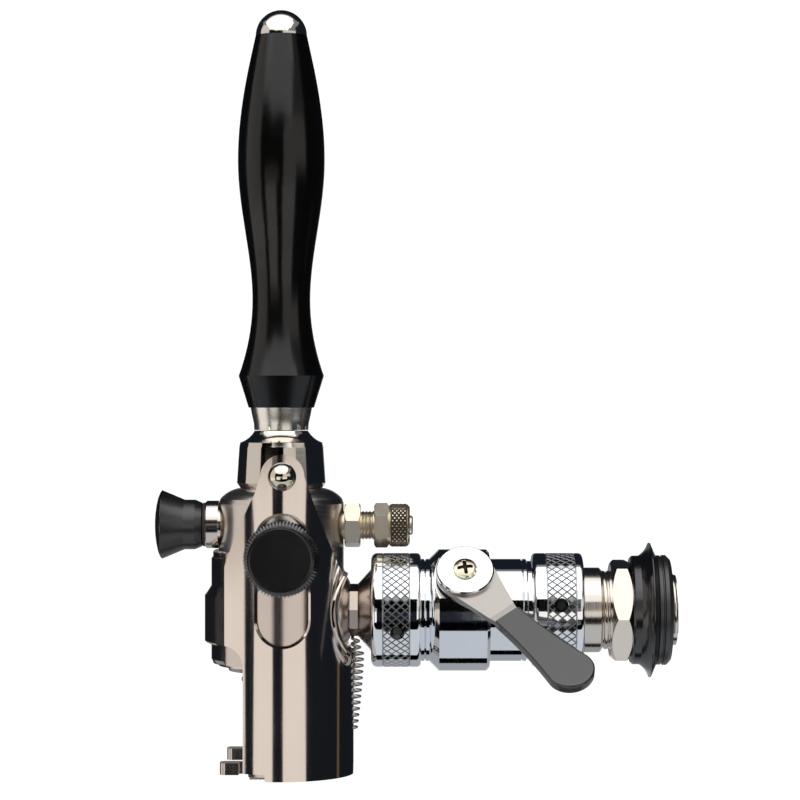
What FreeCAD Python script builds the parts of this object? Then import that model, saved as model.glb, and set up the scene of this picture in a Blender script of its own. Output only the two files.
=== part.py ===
"""Growler filler: a beer tap that fills a bottle held under it against a spring.

The beer line comes through the wall along X, with the wall face at X = 0 and +X into the
wall. The line's axis is at Z = 0 and Z points up. The tap body hangs in front of the wall,
so it lies at negative X, and the user stands in front of it. All sizes are in millimetres.
"""

import math
import os

import FreeCAD, Part

V = FreeCAD.Vector
X_AXIS = V(1, 0, 0)
Y_AXIS = V(0, 1, 0)
Z_AXIS = V(0, 0, 1)

# Clearances
running_gap = 0.10
thread_gap = 0.15
free_gap = 0.30
seat_gap = 0.05
press_gap = 0.02

# Edges broken by turning and milling, and how far a cutter runs past what it cuts
fine_chamfer = 0.4
edge_chamfer = 0.6
overrun = 1.0

# Shank through the wall
shank_bore_radius = 4.5
shank_tail_radius = 10.6
shank_tail_length = 1.8
shank_thread_radius = 11.4
shank_thread_shown = 2.7
shank_barrel_radius = 12.8
shank_barrel_shown = 5.7
washer_radius = 16.6
washer_thickness = 4.3
washer_chamfer = 1.2
flange_thickness = 7.6
flange_face_radius = 16.4
flange_lip_radius = 20.3
flange_lip_from_face = 6.0
flange_lip_width = 0.3
flange_hub_length = 2.6
flange_hollow = 0.5
lock_nut_thickness = 6.1
lock_nut_across_flats = 28.0
lock_nut_chamfer = 1.5
lock_nut_spin = 36.4

# Union nuts on both sides of the shut-off valve
union_radius = 17.2
union_edge = 1.2
union_nose_edge = 1.8
union_front_length = 15.0
union_rear_length = 15.2
union_lip = 3.1
union_thread_radius = 14.15
union_flange_radius = 13.9
union_flange_thickness = 2.4
union_neck_radius = 12.6
union_washer_thickness = 1.5
union_washer_bore = 6.0
spanner_hole_radius = 2.1
spanner_hole_depth = 1.6
spanner_hole_from_rear = 7.1
front_spanner_angle = 19.7
rear_spanner_angle = -9.0

# Shut-off ball valve
valve_ring_length = 2.5
valve_ring_radius = 15.4
valve_ring_groove = 0.6
valve_groove_half_width = 0.3
valve_body_length = 18.1
valve_body_radius = 18.3
valve_front_chamfer = 2.9
valve_rear_chamfer = 0.9
valve_sleeve_length = 11.0
valve_sleeve_radius = 15.4
valve_end_ring = 1.9
valve_sleeve_groove = 0.5
valve_sleeve_groove_from_rear = 1.2
valve_bore_radius = 5.0
valve_ball_radius = 9.6
valve_seat_radius = 11.0
valve_seat_thickness = 3.4
valve_seat_margin = 0.6
valve_rim_radius = 12.4
stem_from_ring = 10.5
stem_tilt = 38.6
stem_radius = 4.0
stem_tang_width = 3.0
stem_tang_depth = 1.6
stem_ring_section = 0.9
stem_ring_height = 1.8
stem_tang_root = 0.5
stem_pocket_radius = 11.0
stem_pocket_height = 16.8

# Lever of the shut-off valve
lever_rest_angle = 52.6
lever_height = 17.9
lever_thickness = 2.0
lever_hub_radius = 8.6
lever_neck_width = 7.8
lever_bend_at = 17.4
lever_crank_angle = 11.7
lever_tip_at = 48.6
lever_cap_thickness = 1.5
lever_screw_radius = 3.5
lever_screw_height = 1.5
lever_screw_rim = 0.6
lever_screw_shank = 1.6
lever_screw_depth = 6.0
screw_cross_reach = 2.3
screw_cross_width = 1.0
screw_cross_depth = 1.1
screw_cross_turn = 8.0
grip_start_at = 19.8
grip_neck_width = 8.7
grip_tip_radius = 6.9
grip_side_lean = 9.0
grip_side_hollow = 0.6
grip_wall = 0.9
grip_round = 0.7
lever_inset = 1.6
lever_stock_height = 36.0

# Tail piece between the tap body and the shut-off valve
collar_length = 2.4
collar_corner_radius = 7.9
collar_sides = 8
collar_spin = 41.0
cone_length = 4.0
cone_rim_radius = 12.0
tail_spigot_radius = 6.9
tail_spigot_length = 3.4

# Tap body
body_radius = 18.85
body_top = 36.8
body_edge_drop = 4.5
body_dome_radius = 18.4
body_dome_drop = 3.1
body_crown_radius = 16.3
body_crown_drop = 1.3
body_flat_radius = 13.2
body_bottom = -16.5
boss_radius = 13.4
boss_rise = 1.95
boss_dome_radius = 11.5
boss_dome_from_end = 2.2
boss_dome_length = 5.4
boss_end_radius = 8.4
chamber_radius = 11.6
chamber_floor = 9.0
spool_bore_radius = 6.0
spool_bore_front = -15.2
spool_bore_rear = 11.0
inlet_chamber_radius = 6.4
lever_slot_width = 6.4
outlet_radius = 3.6

# Bonnet that carries the tap handle's hinge pin
bonnet_foot_radius = 12.3
bonnet_bottom_radius = 13.4
bonnet_chamfer_height = 1.7
bonnet_top_radius = 12.7
bonnet_cone_height = 10.8
bonnet_shoulder_radius = 12.4
bonnet_shoulder_rise = 1.4
bonnet_flare_radius = 9.4
bonnet_flare_rise = 1.8
bonnet_neck_radius = 8.1
bonnet_neck_rise = 1.7
bonnet_mouth_radius = 7.3
bonnet_wall = 3.6
bonnet_crown_thickness = 2.4
bonnet_spigot_length = 5.0
bonnet_gasket_thickness = 0.8

# Handle and the lever that it turns
pin_above_body = 4.1
pin_radius = 1.75
lever_rod_radius = 4.0
lever_hub_outer = 5.4
lever_hub_half_width = 5.0
lever_stud_radius = 3.0
lever_stud_in_handle = 30.8
lever_stud_step = 2.5
lever_arm_waist = 3.4
lever_arm_taper_from = 6.0
lever_arm_taper_to = 12.0
lever_ball_height = 2.9
lower_arm_radius = 1.8
lower_arm_ball = 2.5
handle_swing = 12.0
ferrule_gap = 0.6
ferrule_length = 6.1
ferrule_edge = 0.02
ferrule_bottom_radius = 7.95
ferrule_top_radius = 9.3
handle_length = 112.4
handle_foot_radius = 9.9
handle_flare_at = 9.6
handle_flare_radius = 12.9
handle_waist_at = 29.8
handle_waist_radius = 8.8
handle_belly_at = 72.8
handle_belly_radius = 13.1
handle_shoulder_at = 100.3
handle_shoulder_radius = 10.4
handle_top_radius = 7.8
handle_flare_lean = -0.36
handle_top_lean = -0.22
tip_spigot_radius = 4.0
tip_spigot_length = 8.0

# Valve spool moved by the handle
spool_radius = 5.9
spool_length = 18.0
spool_hole_radius = 2.9
spool_hole_room = 1.2
spool_ring_section = 0.9
spool_ring_inset = 3.0

# Guard shell in front of and round the body
guard_wall = 1.1
guard_bottom = -49.1
cheek_offset = 1.2
ear_radius = 6.5
ear_neck_half_width = 8.1
ear_neck_drop = 4.9
guard_flare_height = 14.0
ear_sweep_in = 3.0
ear_sweep_up = 8.0
rear_sweep_in = 4.2
rear_sweep_up = 10.4
guard_front = -16.3
guard_front_bottom = -9.6
guard_leg_front = -10.6
guard_leg_top = -14.9
leg_sweep_in = 1.6
leg_sweep_down = 1.9
guard_rear_flare = 19.0
guard_rear_top = 11.0
guard_rear_drop = 2.0
boss_window_radius = 14.4
boss_lip_width = 1.2
boss_lip_height = 0.5
slot_width = 15.3
slot_top = 29.4
slot_bottom = -9.2
slot_chamfer = 0.7
channel_radius = 2.9
channel_wall = 1.0
channel_offset = 0.4
channel_bottom = -36.6
guard_notch_width = 6.6
guard_notch_height = 2.1

# Hinge pin, its spacers and dome nuts
nut_radius = 4.2
nut_cylinder = 1.6
nut_dome = 3.3
pin_in_nut = 1.0
spacer_radius = 3.2

# Carriage that slides on the body and lifts the bottle
carriage_wall = 1.65
carriage_top = 18.2
carriage_bottom = -48.0
bulge_rise = 0.5
bulge_half_width = 12.9
bulge_top_slope = 2.4
bulge_bottom = -14.4
carriage_skin_bottom = -15.7
block_rise = 2.0
block_top = 7.6
block_slope = 2.5
block_bottom = -9.0
carriage_leg_front = -9.0
carriage_stroke = 18.5
boss_slot_flare = 1.0
spring_window_bottom = -41.6
stud_ear_radius = 5.6
stud_foot_radius = 1.75

# Fork that holds the bottle by its neck ring
fork_top = -43.8
fork_thickness = 3.5
fork_arm_reach = 4.85
fork_tab_front = -17.4
fork_tab_width = 5.6
fork_tab_radius = 1.6
fork_shoulder_front = -12.6
fork_overlap = 0.8
pad_height = 1.7
pad_length = 6.2
pad_rib_count = 5
pad_rib_width = 0.6
pad_rib_root = 0.1
pad_inset = 0.2

# Clamp knob on the near cheek
knob_height = 16.9
knob_rim_radius = 11.1
knob_rim_width = 3.2
knob_face_radius = 9.3
knob_depth = 11.9
knob_edge = 0.7
knob_thread_depth = 9.9
stud_from_face = 3.5
stud_radius = 3.0
clamp_washer_radius = 8.6
clamp_washer_thickness = 0.7

# Return spring
spring_top = -10.3
spring_bottom = -36.4
spring_wire = 0.5
spring_coil_radius = 1.75
spring_end_overlap = 0.2
spring_turns = 14
spring_top_offset = 2.3
spring_leg_top = -5.6
spring_pin_height = -39.2
spring_pin_radius = 0.6
spring_pin_length = 10.8
spring_eye_radius = 1.4

# Bottle seal and filling spout
holder_flange_radius = 16.4
holder_flange_thickness = 1.5
holder_boss_radius = 11.6
holder_boss_length = 2.3
holder_spigot_radius = 9.0
holder_spigot_length = 5.0
seal_top_radius = 12.0
seal_bottom_radius = 10.2
seal_height = 4.2
seal_rim = 0.8
spout_radius = 4.6
spout_bore = 3.4
spout_length = 17.0
spout_collar_width = 0.9
spout_collar_height = 0.8
spout_seat_gap = 0.2
spout_port_count = 4
spout_port_radius = 1.1
spout_port_height = 1.6
spreader_radius = 6.2
spreader_height = 3.0
spreader_rim_at = 1.8

# Gas fitting at the back
gas_port_height = 25.6
gas_spigot_radius = 4.3
gas_spigot_length = 4.6
gas_hex_length = 4.8
gas_hex_corner = 7.0
gas_hex_spin = 16.5
gas_hex_chamfer = 0.6
gas_neck_radius = 4.3
gas_neck_shown = 4.1
gas_neck_ridges = 4
gas_neck_ridge_depth = 0.35
gas_seat_from_end = 4.0
gas_nut_hex_length = 4.5
gas_nut_corner = 6.8
gas_nut_spin = 4.0
gas_nut_round_radius = 6.15
gas_nut_round_length = 6.3
gas_stub_radius = 2.9
gas_stub_bore = 1.9
gas_stub_shown = 0.9
gas_stub_flange = 1.6
gas_nut_lip = 2.2
gas_bore = 1.6

# Bleed valve at the front
bleed_port_height = 25.85
bleed_bushing_radius = 7.2
bleed_bushing_length = 3.9
bleed_spigot_radius = 5.4
bleed_spigot_length = 5.0
bleed_gasket_radius = 6.6
bleed_gasket_thickness = 0.7
bleed_needle_radius = 2.6
bleed_needle_tip = 1.0
bleed_knob_start_radius = 6.6
bleed_knob_radius = 7.5
bleed_knob_taper = 2.2
bleed_knob_cylinder = 3.3
bleed_knob_rim_radius = 10.35
bleed_knob_rim_at = 12.1
bleed_knob_rim_width = 0.2
bleed_needle_in_knob = 11.4
bleed_seat_height = 1.8
bleed_needle_nose = 0.5
bleed_ring_from_face = 1.4
bleed_gland_height = 3.0
bleed_knob_length = 14.4
bleed_ring_section = 0.8

# Places along the line, from the wall forwards
washer_front = -washer_thickness
flange_front = washer_front - flange_thickness
lock_nut_front = flange_front - lock_nut_thickness
thread_front = lock_nut_front - shank_thread_shown
barrel_front = thread_front - shank_barrel_shown
rear_union_front = barrel_front - union_rear_length
sleeve_front = rear_union_front - valve_end_ring - valve_sleeve_length
valve_front = sleeve_front - valve_body_length
ring_front = valve_front - valve_ring_length
front_union_front = ring_front - union_front_length
collar_front = front_union_front - cone_length - collar_length
boss_reach = body_radius + boss_rise
body_x = collar_front - boss_reach
stem_x = valve_front + stem_from_ring

# Heights of the bonnet, pin and handle, from the body's top upwards
bonnet_bottom_height = body_top + bonnet_chamfer_height
bonnet_top_height = bonnet_bottom_height + bonnet_cone_height
bonnet_shoulder_height = bonnet_top_height + bonnet_shoulder_rise
bonnet_flare_height = bonnet_shoulder_height + bonnet_flare_rise
bonnet_neck_height = bonnet_flare_height + bonnet_neck_rise
pivot_height = body_top + pin_above_body
lower_arm_length = pivot_height - lever_ball_height
ferrule_bottom = bonnet_neck_height + ferrule_gap
ferrule_top = ferrule_bottom + ferrule_length
handle_bottom = ferrule_top + free_gap
handle_top = handle_bottom + handle_length
lever_stud_top = handle_bottom + lever_stud_in_handle

# Sizes that follow from the fits
carriage_inner_radius = body_radius + running_gap
carriage_outer_radius = carriage_inner_radius + carriage_wall
bulge_radius = carriage_outer_radius + bulge_rise
block_radius = bulge_radius + block_rise
guard_inner_radius = carriage_outer_radius + free_gap
guard_outer_radius = guard_inner_radius + guard_wall
fork_throat_radius = carriage_inner_radius - fork_arm_reach
channel_x = guard_inner_radius + channel_offset
spring_bottom_x = guard_inner_radius
spring_top_x = guard_inner_radius + spring_top_offset
knob_back = guard_outer_radius + free_gap + clamp_washer_thickness + 2 * seat_gap
knob_face = knob_back + knob_depth
cheek_x = body_x + cheek_offset
valve_seat_reach = valve_ball_radius + valve_seat_margin

# Directions and places of the side parts
near = V(0, -1, 0)
front = V(-1, 0, 0)
stem_angle = math.radians(stem_tilt)
stem_axis = V(0, -math.cos(stem_angle), math.sin(stem_angle))
knob_centre = V(cheek_x, 0, knob_height)
spring_pin_x = spring_bottom_x - spring_coil_radius
seal_top = body_bottom - seat_gap - holder_flange_thickness - holder_boss_length - seat_gap
gas_face = body_radius + free_gap
gas_hex_end = gas_face + gas_hex_length
gas_nut_start = gas_hex_end + gas_neck_shown
gas_nut_end = gas_nut_start + gas_nut_hex_length + gas_nut_round_length
bleed_face = body_radius + seat_gap
bleed_bushing_end = bleed_face + bleed_bushing_length
bleed_gasket_end = bleed_bushing_end + seat_gap + bleed_gasket_thickness
bleed_knob_back = bleed_gasket_end + seat_gap


# Middle of a quarter circle, as a share of its radius in from the corner
round_share = 1 - math.sqrt(0.5)


def outline(start, *steps):
    """Closed wire in the XZ plane from (r, h) points; a step of two points is an arc."""
    edges = []
    here = V(start[0], 0, start[1])
    for step in steps:
        if isinstance(step[0], tuple):
            middle = V(step[0][0], 0, step[0][1])
            there = V(step[1][0], 0, step[1][1])
            edges.append(Part.Arc(here, middle, there).toShape())
        else:
            there = V(step[0], 0, step[1])
            edges.append(Part.LineSegment(here, there).toShape())
        here = there
    first = V(start[0], 0, start[1])
    if here.distanceToPoint(first) > 1e-6:
        edges.append(Part.LineSegment(here, first).toShape())
    return Part.Wire(edges)


def aimed(shape, base, axis, spin=0.0):
    """Turn a shape built along +Z so that it lies along axis from base."""
    place = FreeCAD.Placement(base, FreeCAD.Rotation(Z_AXIS, axis))
    turn = FreeCAD.Placement(V(0, 0, 0), FreeCAD.Rotation(Z_AXIS, spin))
    moved = shape.copy()
    moved.Placement = place.multiply(turn).multiply(moved.Placement)
    return moved


def turned(base, axis, start, *steps):
    """Solid of revolution from an (r, h) outline, with h along axis from base."""
    face = Part.Face(outline(start, *steps))
    return aimed(face.revolve(V(0, 0, 0), Z_AXIS, 360), base, axis)


def cap_middle(radius, height):
    """Point half way along the arc of a shallow dome, as (r, height above its foot)."""
    sphere = (radius ** 2 + height ** 2) / (2 * height)
    half = math.asin(min(1.0, radius / sphere)) / 2
    return sphere * math.sin(half), height - sphere * (1 - math.cos(half))


def rod(base, axis, radius, length):
    return Part.makeCylinder(radius, length, base, axis)


def tube(base, axis, outer, inner, length):
    return rod(base, axis, outer, length).cut(rod(base, axis, inner, length))


def prism(base, axis, corner_radius, length, sides=6, spin=0.0):
    """Regular prism along axis."""
    corners = []
    for i in range(sides + 1):
        angle = 2 * math.pi * i / sides
        corners.append(V(corner_radius * math.cos(angle), corner_radius * math.sin(angle), 0))
    face = Part.Face(Part.makePolygon(corners))
    return aimed(face.extrude(V(0, 0, length)), base, axis, spin)


def on_line(offset=0.0, height=0.0, y=0.0):
    """Point at a distance behind the body axis."""
    return V(body_x + offset, y, height)


def hex_nut(base, axis, corner_radius, length, chamfer, spin=0.0):
    """Hexagon with its corners turned down at both ends."""
    flat_radius = corner_radius * math.cos(math.pi / 6)
    envelope = turned(base, axis, (0, 0), (flat_radius, 0), (corner_radius, chamfer),
                      (corner_radius, length - chamfer), (flat_radius, length), (0, length))
    return prism(base, axis, corner_radius, length, 6, spin).common(envelope)


def o_ring(centre, axis, radius, section):
    return Part.makeTorus(radius, section, centre, axis)


# Shank and wall fittings


def shank():
    """Threaded pipe from the rear union nut through the wall."""
    start = barrel_front - (union_rear_length - union_lip - union_flange_thickness
                            - union_washer_thickness)
    steps = [
        (union_thread_radius, start - barrel_front),
        (union_thread_radius, -seat_gap),
        (shank_barrel_radius, -seat_gap),
        (shank_barrel_radius, shank_barrel_shown - edge_chamfer),
        (shank_barrel_radius - edge_chamfer, shank_barrel_shown),
        (shank_thread_radius, shank_barrel_shown),
        (shank_thread_radius, -barrel_front),
        (shank_tail_radius, -barrel_front),
        (shank_tail_radius, -barrel_front + shank_tail_length),
        (shank_bore_radius, -barrel_front + shank_tail_length),
    ]
    return turned(V(barrel_front, 0, 0), X_AXIS, (shank_bore_radius, start - barrel_front), *steps)


def wall_washer():
    bore = shank_thread_radius + seat_gap
    return turned(V(washer_front, 0, 0), X_AXIS, (bore, 0), (washer_radius, 0),
                  (washer_radius, washer_thickness - washer_chamfer),
                  (washer_radius - washer_chamfer, washer_thickness), (bore, washer_thickness))


def wall_flange():
    """Rubber flange with a sharp sealing lip."""
    bore = shank_thread_radius + seat_gap
    middle_radius = (flange_face_radius + flange_lip_radius) / 2 - flange_hollow
    middle_at = (flange_hub_length + flange_lip_from_face) / 2
    return turned(V(flange_front, 0, 0), X_AXIS, (bore, 0),
                  (flange_face_radius - edge_chamfer, 0), (flange_face_radius, edge_chamfer),
                  (flange_face_radius, flange_hub_length),
                  ((middle_radius, middle_at),
                   (flange_lip_radius, flange_lip_from_face - flange_lip_width)),
                  (flange_lip_radius, flange_lip_from_face),
                  (washer_radius, flange_thickness), (bore, flange_thickness))


def shank_lock_nut():
    corner = lock_nut_across_flats / 2 / math.cos(math.pi / 6)
    nut = hex_nut(V(lock_nut_front, 0, 0), X_AXIS, corner, lock_nut_thickness, lock_nut_chamfer,
                  lock_nut_spin)
    return nut.cut(rod(V(lock_nut_front, 0, 0), X_AXIS, shank_thread_radius + seat_gap,
                       lock_nut_thickness))


# Union joints


def union_nut(front, length, nose_edge, spanner_angle):
    """Knurled coupling nut: a lip at the front holds the flange, the rest is threaded."""
    neck = union_neck_radius + free_gap
    inner = union_thread_radius + thread_gap
    nose = round_share * nose_edge
    tail = round_share * union_edge
    nut = turned(V(front, 0, 0), X_AXIS, (neck, 0), (union_radius - nose_edge, 0),
                 ((union_radius - nose, nose), (union_radius, nose_edge)),
                 (union_radius, length - union_edge),
                 ((union_radius - tail, length - tail), (union_radius - union_edge, length)),
                 (inner, length), (inner, union_lip), (neck, union_lip))
    angle = math.radians(spanner_angle)
    outward = V(0, -math.cos(angle), -math.sin(angle))
    start = (V(front + length - spanner_hole_from_rear, 0, 0)
             + outward * (union_radius - spanner_hole_depth))
    return nut.cut(rod(start, outward, spanner_hole_radius, spanner_hole_depth + overrun))


def union_flange(front):
    """Neck and flange that the nut's lip pulls back."""
    neck_length = union_lip + seat_gap
    return turned(V(front, 0, 0), X_AXIS, (shank_bore_radius, 0), (union_neck_radius, 0),
                  (union_neck_radius, neck_length), (union_flange_radius, neck_length),
                  (union_flange_radius, neck_length + union_flange_thickness - seat_gap),
                  (shank_bore_radius, neck_length + union_flange_thickness - seat_gap))


def union_washer(front):
    start = V(front + union_lip + union_flange_thickness, 0, 0)
    return tube(start, X_AXIS, union_flange_radius, union_washer_bore, union_washer_thickness)


# Shut-off valve


def valve_body():
    front = ring_front - (union_front_length - union_lip - union_flange_thickness
                          - union_washer_thickness)
    ring = 0
    groove = valve_ring_length / 2
    rear = valve_ring_length + valve_body_length
    cavity = valve_seat_radius + seat_gap
    cavity_front = stem_x - ring_front - valve_seat_reach
    body = turned(V(ring_front, 0, 0), X_AXIS, (valve_bore_radius, front - ring_front),
                  (union_thread_radius, front - ring_front), (union_thread_radius, ring),
                  (valve_ring_radius, ring), (valve_ring_radius, groove - valve_groove_half_width),
                  (valve_ring_radius - valve_ring_groove, groove),
                  (valve_ring_radius, groove + valve_groove_half_width),
                  (valve_ring_radius, valve_ring_length),
                  (valve_body_radius, valve_ring_length + valve_front_chamfer),
                  (valve_body_radius, rear - valve_rear_chamfer),
                  (valve_body_radius - valve_rear_chamfer, rear),
                  (valve_rim_radius, rear),
                  (valve_rim_radius, cavity_front + 2 * valve_seat_reach),
                  (cavity, cavity_front + 2 * valve_seat_reach), (cavity, cavity_front),
                  (valve_bore_radius, cavity_front))
    pocket = rod(V(stem_x, 0, 0) + stem_axis * stem_pocket_height, stem_axis,
                 stem_pocket_radius, valve_body_radius)
    stem_hole = rod(V(stem_x, 0, 0), stem_axis, stem_radius + seat_gap, valve_body_radius)
    return body.cut(pocket).cut(stem_hole)


def valve_seats():
    """Ring seats with a spherical face on both sides of the ball."""
    ball = Part.makeSphere(valve_ball_radius + seat_gap, V(stem_x, 0, 0))
    front = tube(V(stem_x - valve_seat_reach, 0, 0), X_AXIS, valve_seat_radius,
                 valve_bore_radius, valve_seat_thickness)
    rear = tube(V(stem_x + valve_seat_reach - valve_seat_thickness, 0, 0), X_AXIS,
                valve_seat_radius, valve_bore_radius, valve_seat_thickness)
    return Part.makeCompound([front.cut(ball), rear.cut(ball)])


def lever_direction(angle_degrees):
    """Direction in the lever's plane, measured from the line's axis towards the user."""
    angle = math.radians(angle_degrees)
    across = V(0, -math.sin(stem_angle), -math.cos(stem_angle))
    return X_AXIS * math.cos(angle) + across * math.sin(angle)


def valve_ball():
    """Bored ball, with the slot that the stem's tang turns."""
    along = lever_direction(lever_rest_angle)
    ball = Part.makeSphere(valve_ball_radius, V(stem_x, 0, 0))
    bore = rod(V(stem_x, 0, 0) - along * 2 * valve_ball_radius, along, valve_bore_radius,
               4 * valve_ball_radius)
    slot = tang_block(stem_tang_width + 2 * running_gap, 2 * valve_ball_radius,
                      valve_ball_radius - stem_tang_depth - running_gap,
                      stem_tang_depth + overrun)
    return ball.cut(bore).cut(slot)


def tang_block(width, length, height, depth):
    """Block across the ball, square to the bore, standing on the stem's axis."""
    along = lever_direction(lever_rest_angle)
    side = stem_axis.cross(along)
    corner = V(stem_x, 0, 0) + stem_axis * height - along * (width / 2) - side * (length / 2)
    points = [corner, corner + along * width, corner + along * width + side * length,
              corner + side * length, corner]
    return Part.Face(Part.makePolygon(points)).extrude(stem_axis * depth)


def valve_stem():
    foot = valve_ball_radius + free_gap
    top = lever_height + lever_thickness - foot
    screw_floor = top - lever_screw_depth - seat_gap
    groove_top = stem_ring_height + 2 * stem_ring_section
    centre = V(stem_x, 0, 0)
    post = turned(centre + stem_axis * foot, stem_axis, (0, 0), (stem_radius, 0),
                  (stem_radius, stem_ring_height),
                  (stem_radius - stem_ring_section, stem_ring_height),
                  (stem_radius - stem_ring_section, groove_top), (stem_radius, groove_top),
                  (stem_radius, top), (lever_screw_shank, top), (lever_screw_shank, screw_floor),
                  (0, screw_floor))
    tang = tang_block(stem_tang_width, 2 * stem_radius, valve_ball_radius - stem_tang_depth,
                      stem_tang_depth + free_gap + stem_tang_root)
    keep = rod(centre, stem_axis, stem_radius, 2 * valve_body_radius)
    return post.fuse(tang.common(keep)).removeSplitter()


def valve_stem_ring():
    height = valve_ball_radius + free_gap + stem_ring_height + stem_ring_section
    return o_ring(V(stem_x, 0, 0) + stem_axis * height, stem_axis,
                  stem_radius - stem_ring_section / 2, stem_ring_section / 2)


def valve_sleeve():
    """Rear half of the valve, screwed over the body's rim, with the flange for the rear nut."""
    front = stem_x + valve_seat_reach + seat_gap - sleeve_front
    groove = valve_sleeve_length - valve_sleeve_groove_from_rear
    end = valve_sleeve_length + valve_end_ring
    ring_radius = valve_sleeve_radius - edge_chamfer
    body = turned(V(sleeve_front, 0, 0), X_AXIS, (valve_bore_radius, front),
                  (valve_rim_radius + seat_gap, front), (valve_rim_radius + seat_gap, 0),
                  (valve_sleeve_radius, 0),
                  (valve_sleeve_radius, groove - valve_groove_half_width),
                  (valve_sleeve_radius - valve_sleeve_groove, groove),
                  (valve_sleeve_radius, groove + valve_groove_half_width),
                  (valve_sleeve_radius, valve_sleeve_length),
                  (ring_radius, valve_sleeve_length + fine_chamfer),
                  (ring_radius, end - free_gap), (union_neck_radius, end - free_gap),
                  (union_neck_radius, end), (valve_bore_radius, end))
    return body.fuse(union_flange(rear_union_front)).removeSplitter()


# Valve lever


def cranked_strip(start, end, below, above, width):
    """Strip that follows the lever: flat to the bend, then rising, with the given thickness."""
    slope = math.tan(math.radians(lever_crank_angle))
    points = [(start, rise_at(start, slope) + below)]
    if start < lever_bend_at:
        points.append((lever_bend_at, below))
    points.append((end, rise_at(end, slope) + below))
    points.append((end, rise_at(end, slope) + above))
    if start < lever_bend_at:
        points.append((lever_bend_at, above))
    points.append((start, rise_at(start, slope) + above))
    face = Part.Face(outline(*points))
    return face.extrude(V(0, 2 * width, 0)).translated(V(0, -width, 0))


def rise_at(distance, slope):
    return max(0.0, distance - lever_bend_at) * slope


def lever_placed(shape, height):
    """Put a lever piece, built along +X with +Z away from the pipe, at its rest angle."""
    along = lever_direction(lever_rest_angle)
    side = stem_axis.cross(along)
    matrix = FreeCAD.Matrix(along.x, side.x, stem_axis.x, 0, along.y, side.y, stem_axis.y, 0,
                            along.z, side.z, stem_axis.z, 0, 0, 0, 0, 1)
    placement = FreeCAD.Placement(matrix)
    placement.Base = V(stem_x, 0, 0) + stem_axis * height
    moved = shape.copy()
    moved.Placement = placement.multiply(moved.Placement)
    return moved


def plate_plan(tip_radius, height):
    """Plan of the steel lever: round hub, arm tapering to a neck, and round tip."""
    half = lever_neck_width / 2
    hub = Part.makeCylinder(lever_hub_radius, height)
    tip = Part.makeCylinder(tip_radius, height, V(lever_tip_at, 0, 0))
    leave = math.acos((lever_hub_radius - half) / grip_start_at)
    shoulder_x = lever_hub_radius * math.cos(leave)
    shoulder_y = lever_hub_radius * math.sin(leave)
    points = [V(shoulder_x, -shoulder_y, 0), V(grip_start_at, -half, 0),
              V(lever_tip_at, -tip_radius, 0), V(lever_tip_at, tip_radius, 0),
              V(grip_start_at, half, 0), V(shoulder_x, shoulder_y, 0),
              V(shoulder_x, -shoulder_y, 0)]
    blade = Part.Face(Part.makePolygon(points)).extrude(V(0, 0, height))
    return hub.fuse([tip, blade])


def valve_lever():
    reach = lever_tip_at + grip_tip_radius
    strip = cranked_strip(-lever_hub_radius, reach, 0, lever_thickness, lever_hub_radius)
    plan = plate_plan(grip_tip_radius - lever_inset, lever_stock_height)
    plan = plan.translated(V(0, 0, -grip_wall))
    plate = strip.common(plan).removeSplitter()
    hole = Part.makeCylinder(stem_radius + seat_gap, 4 * lever_thickness,
                             V(0, 0, -lever_thickness))
    return lever_placed(plate.cut(hole), lever_height)


def lever_grip():
    """Dipped grip: narrow at its start, with hollow sides that widen to a round end."""
    reach = lever_tip_at + grip_tip_radius
    strip = cranked_strip(grip_start_at, reach, -grip_wall, lever_thickness + grip_wall,
                          grip_tip_radius)
    half = grip_neck_width / 2
    lean = math.radians(grip_side_lean)
    join_x = lever_tip_at - grip_tip_radius * math.sin(lean)
    join_y = grip_tip_radius * math.cos(lean)
    waist_x = (grip_start_at + join_x) / 2
    waist_y = (half + join_y) / 2 - grip_side_hollow
    near_side = Part.Arc(V(grip_start_at, -half, 0), V(waist_x, -waist_y, 0), V(join_x, -join_y, 0))
    tip = Part.Arc(V(join_x, -join_y, 0), V(reach, 0, 0), V(join_x, join_y, 0))
    far_side = Part.Arc(V(join_x, join_y, 0), V(waist_x, waist_y, 0), V(grip_start_at, half, 0))
    start = Part.LineSegment(V(grip_start_at, half, 0), V(grip_start_at, -half, 0))
    plan = Part.Face(Part.Wire([near_side.toShape(), tip.toShape(), far_side.toShape(),
                                start.toShape()]))
    stock = plan.extrude(V(0, 0, lever_stock_height)).translated(V(0, 0, -2 * grip_wall))
    outer = strip.common(stock).removeSplitter()
    rims = [edge for edge in outer.Edges if edge.BoundBox.XLength > grip_round]
    outer = outer.makeFillet(grip_round, rims)
    return lever_placed(outer, lever_height).cut(valve_lever())


def lever_cap():
    """Round cover plate on the lever's hub."""
    base = V(stem_x, 0, 0) + stem_axis * (lever_height + lever_thickness)
    return turned(base, stem_axis, (lever_screw_shank + seat_gap, 0), (lever_hub_radius, 0),
                  (lever_hub_radius, lever_cap_thickness - fine_chamfer),
                  (lever_hub_radius - fine_chamfer, lever_cap_thickness),
                  (lever_screw_shank + seat_gap, lever_cap_thickness))


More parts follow.
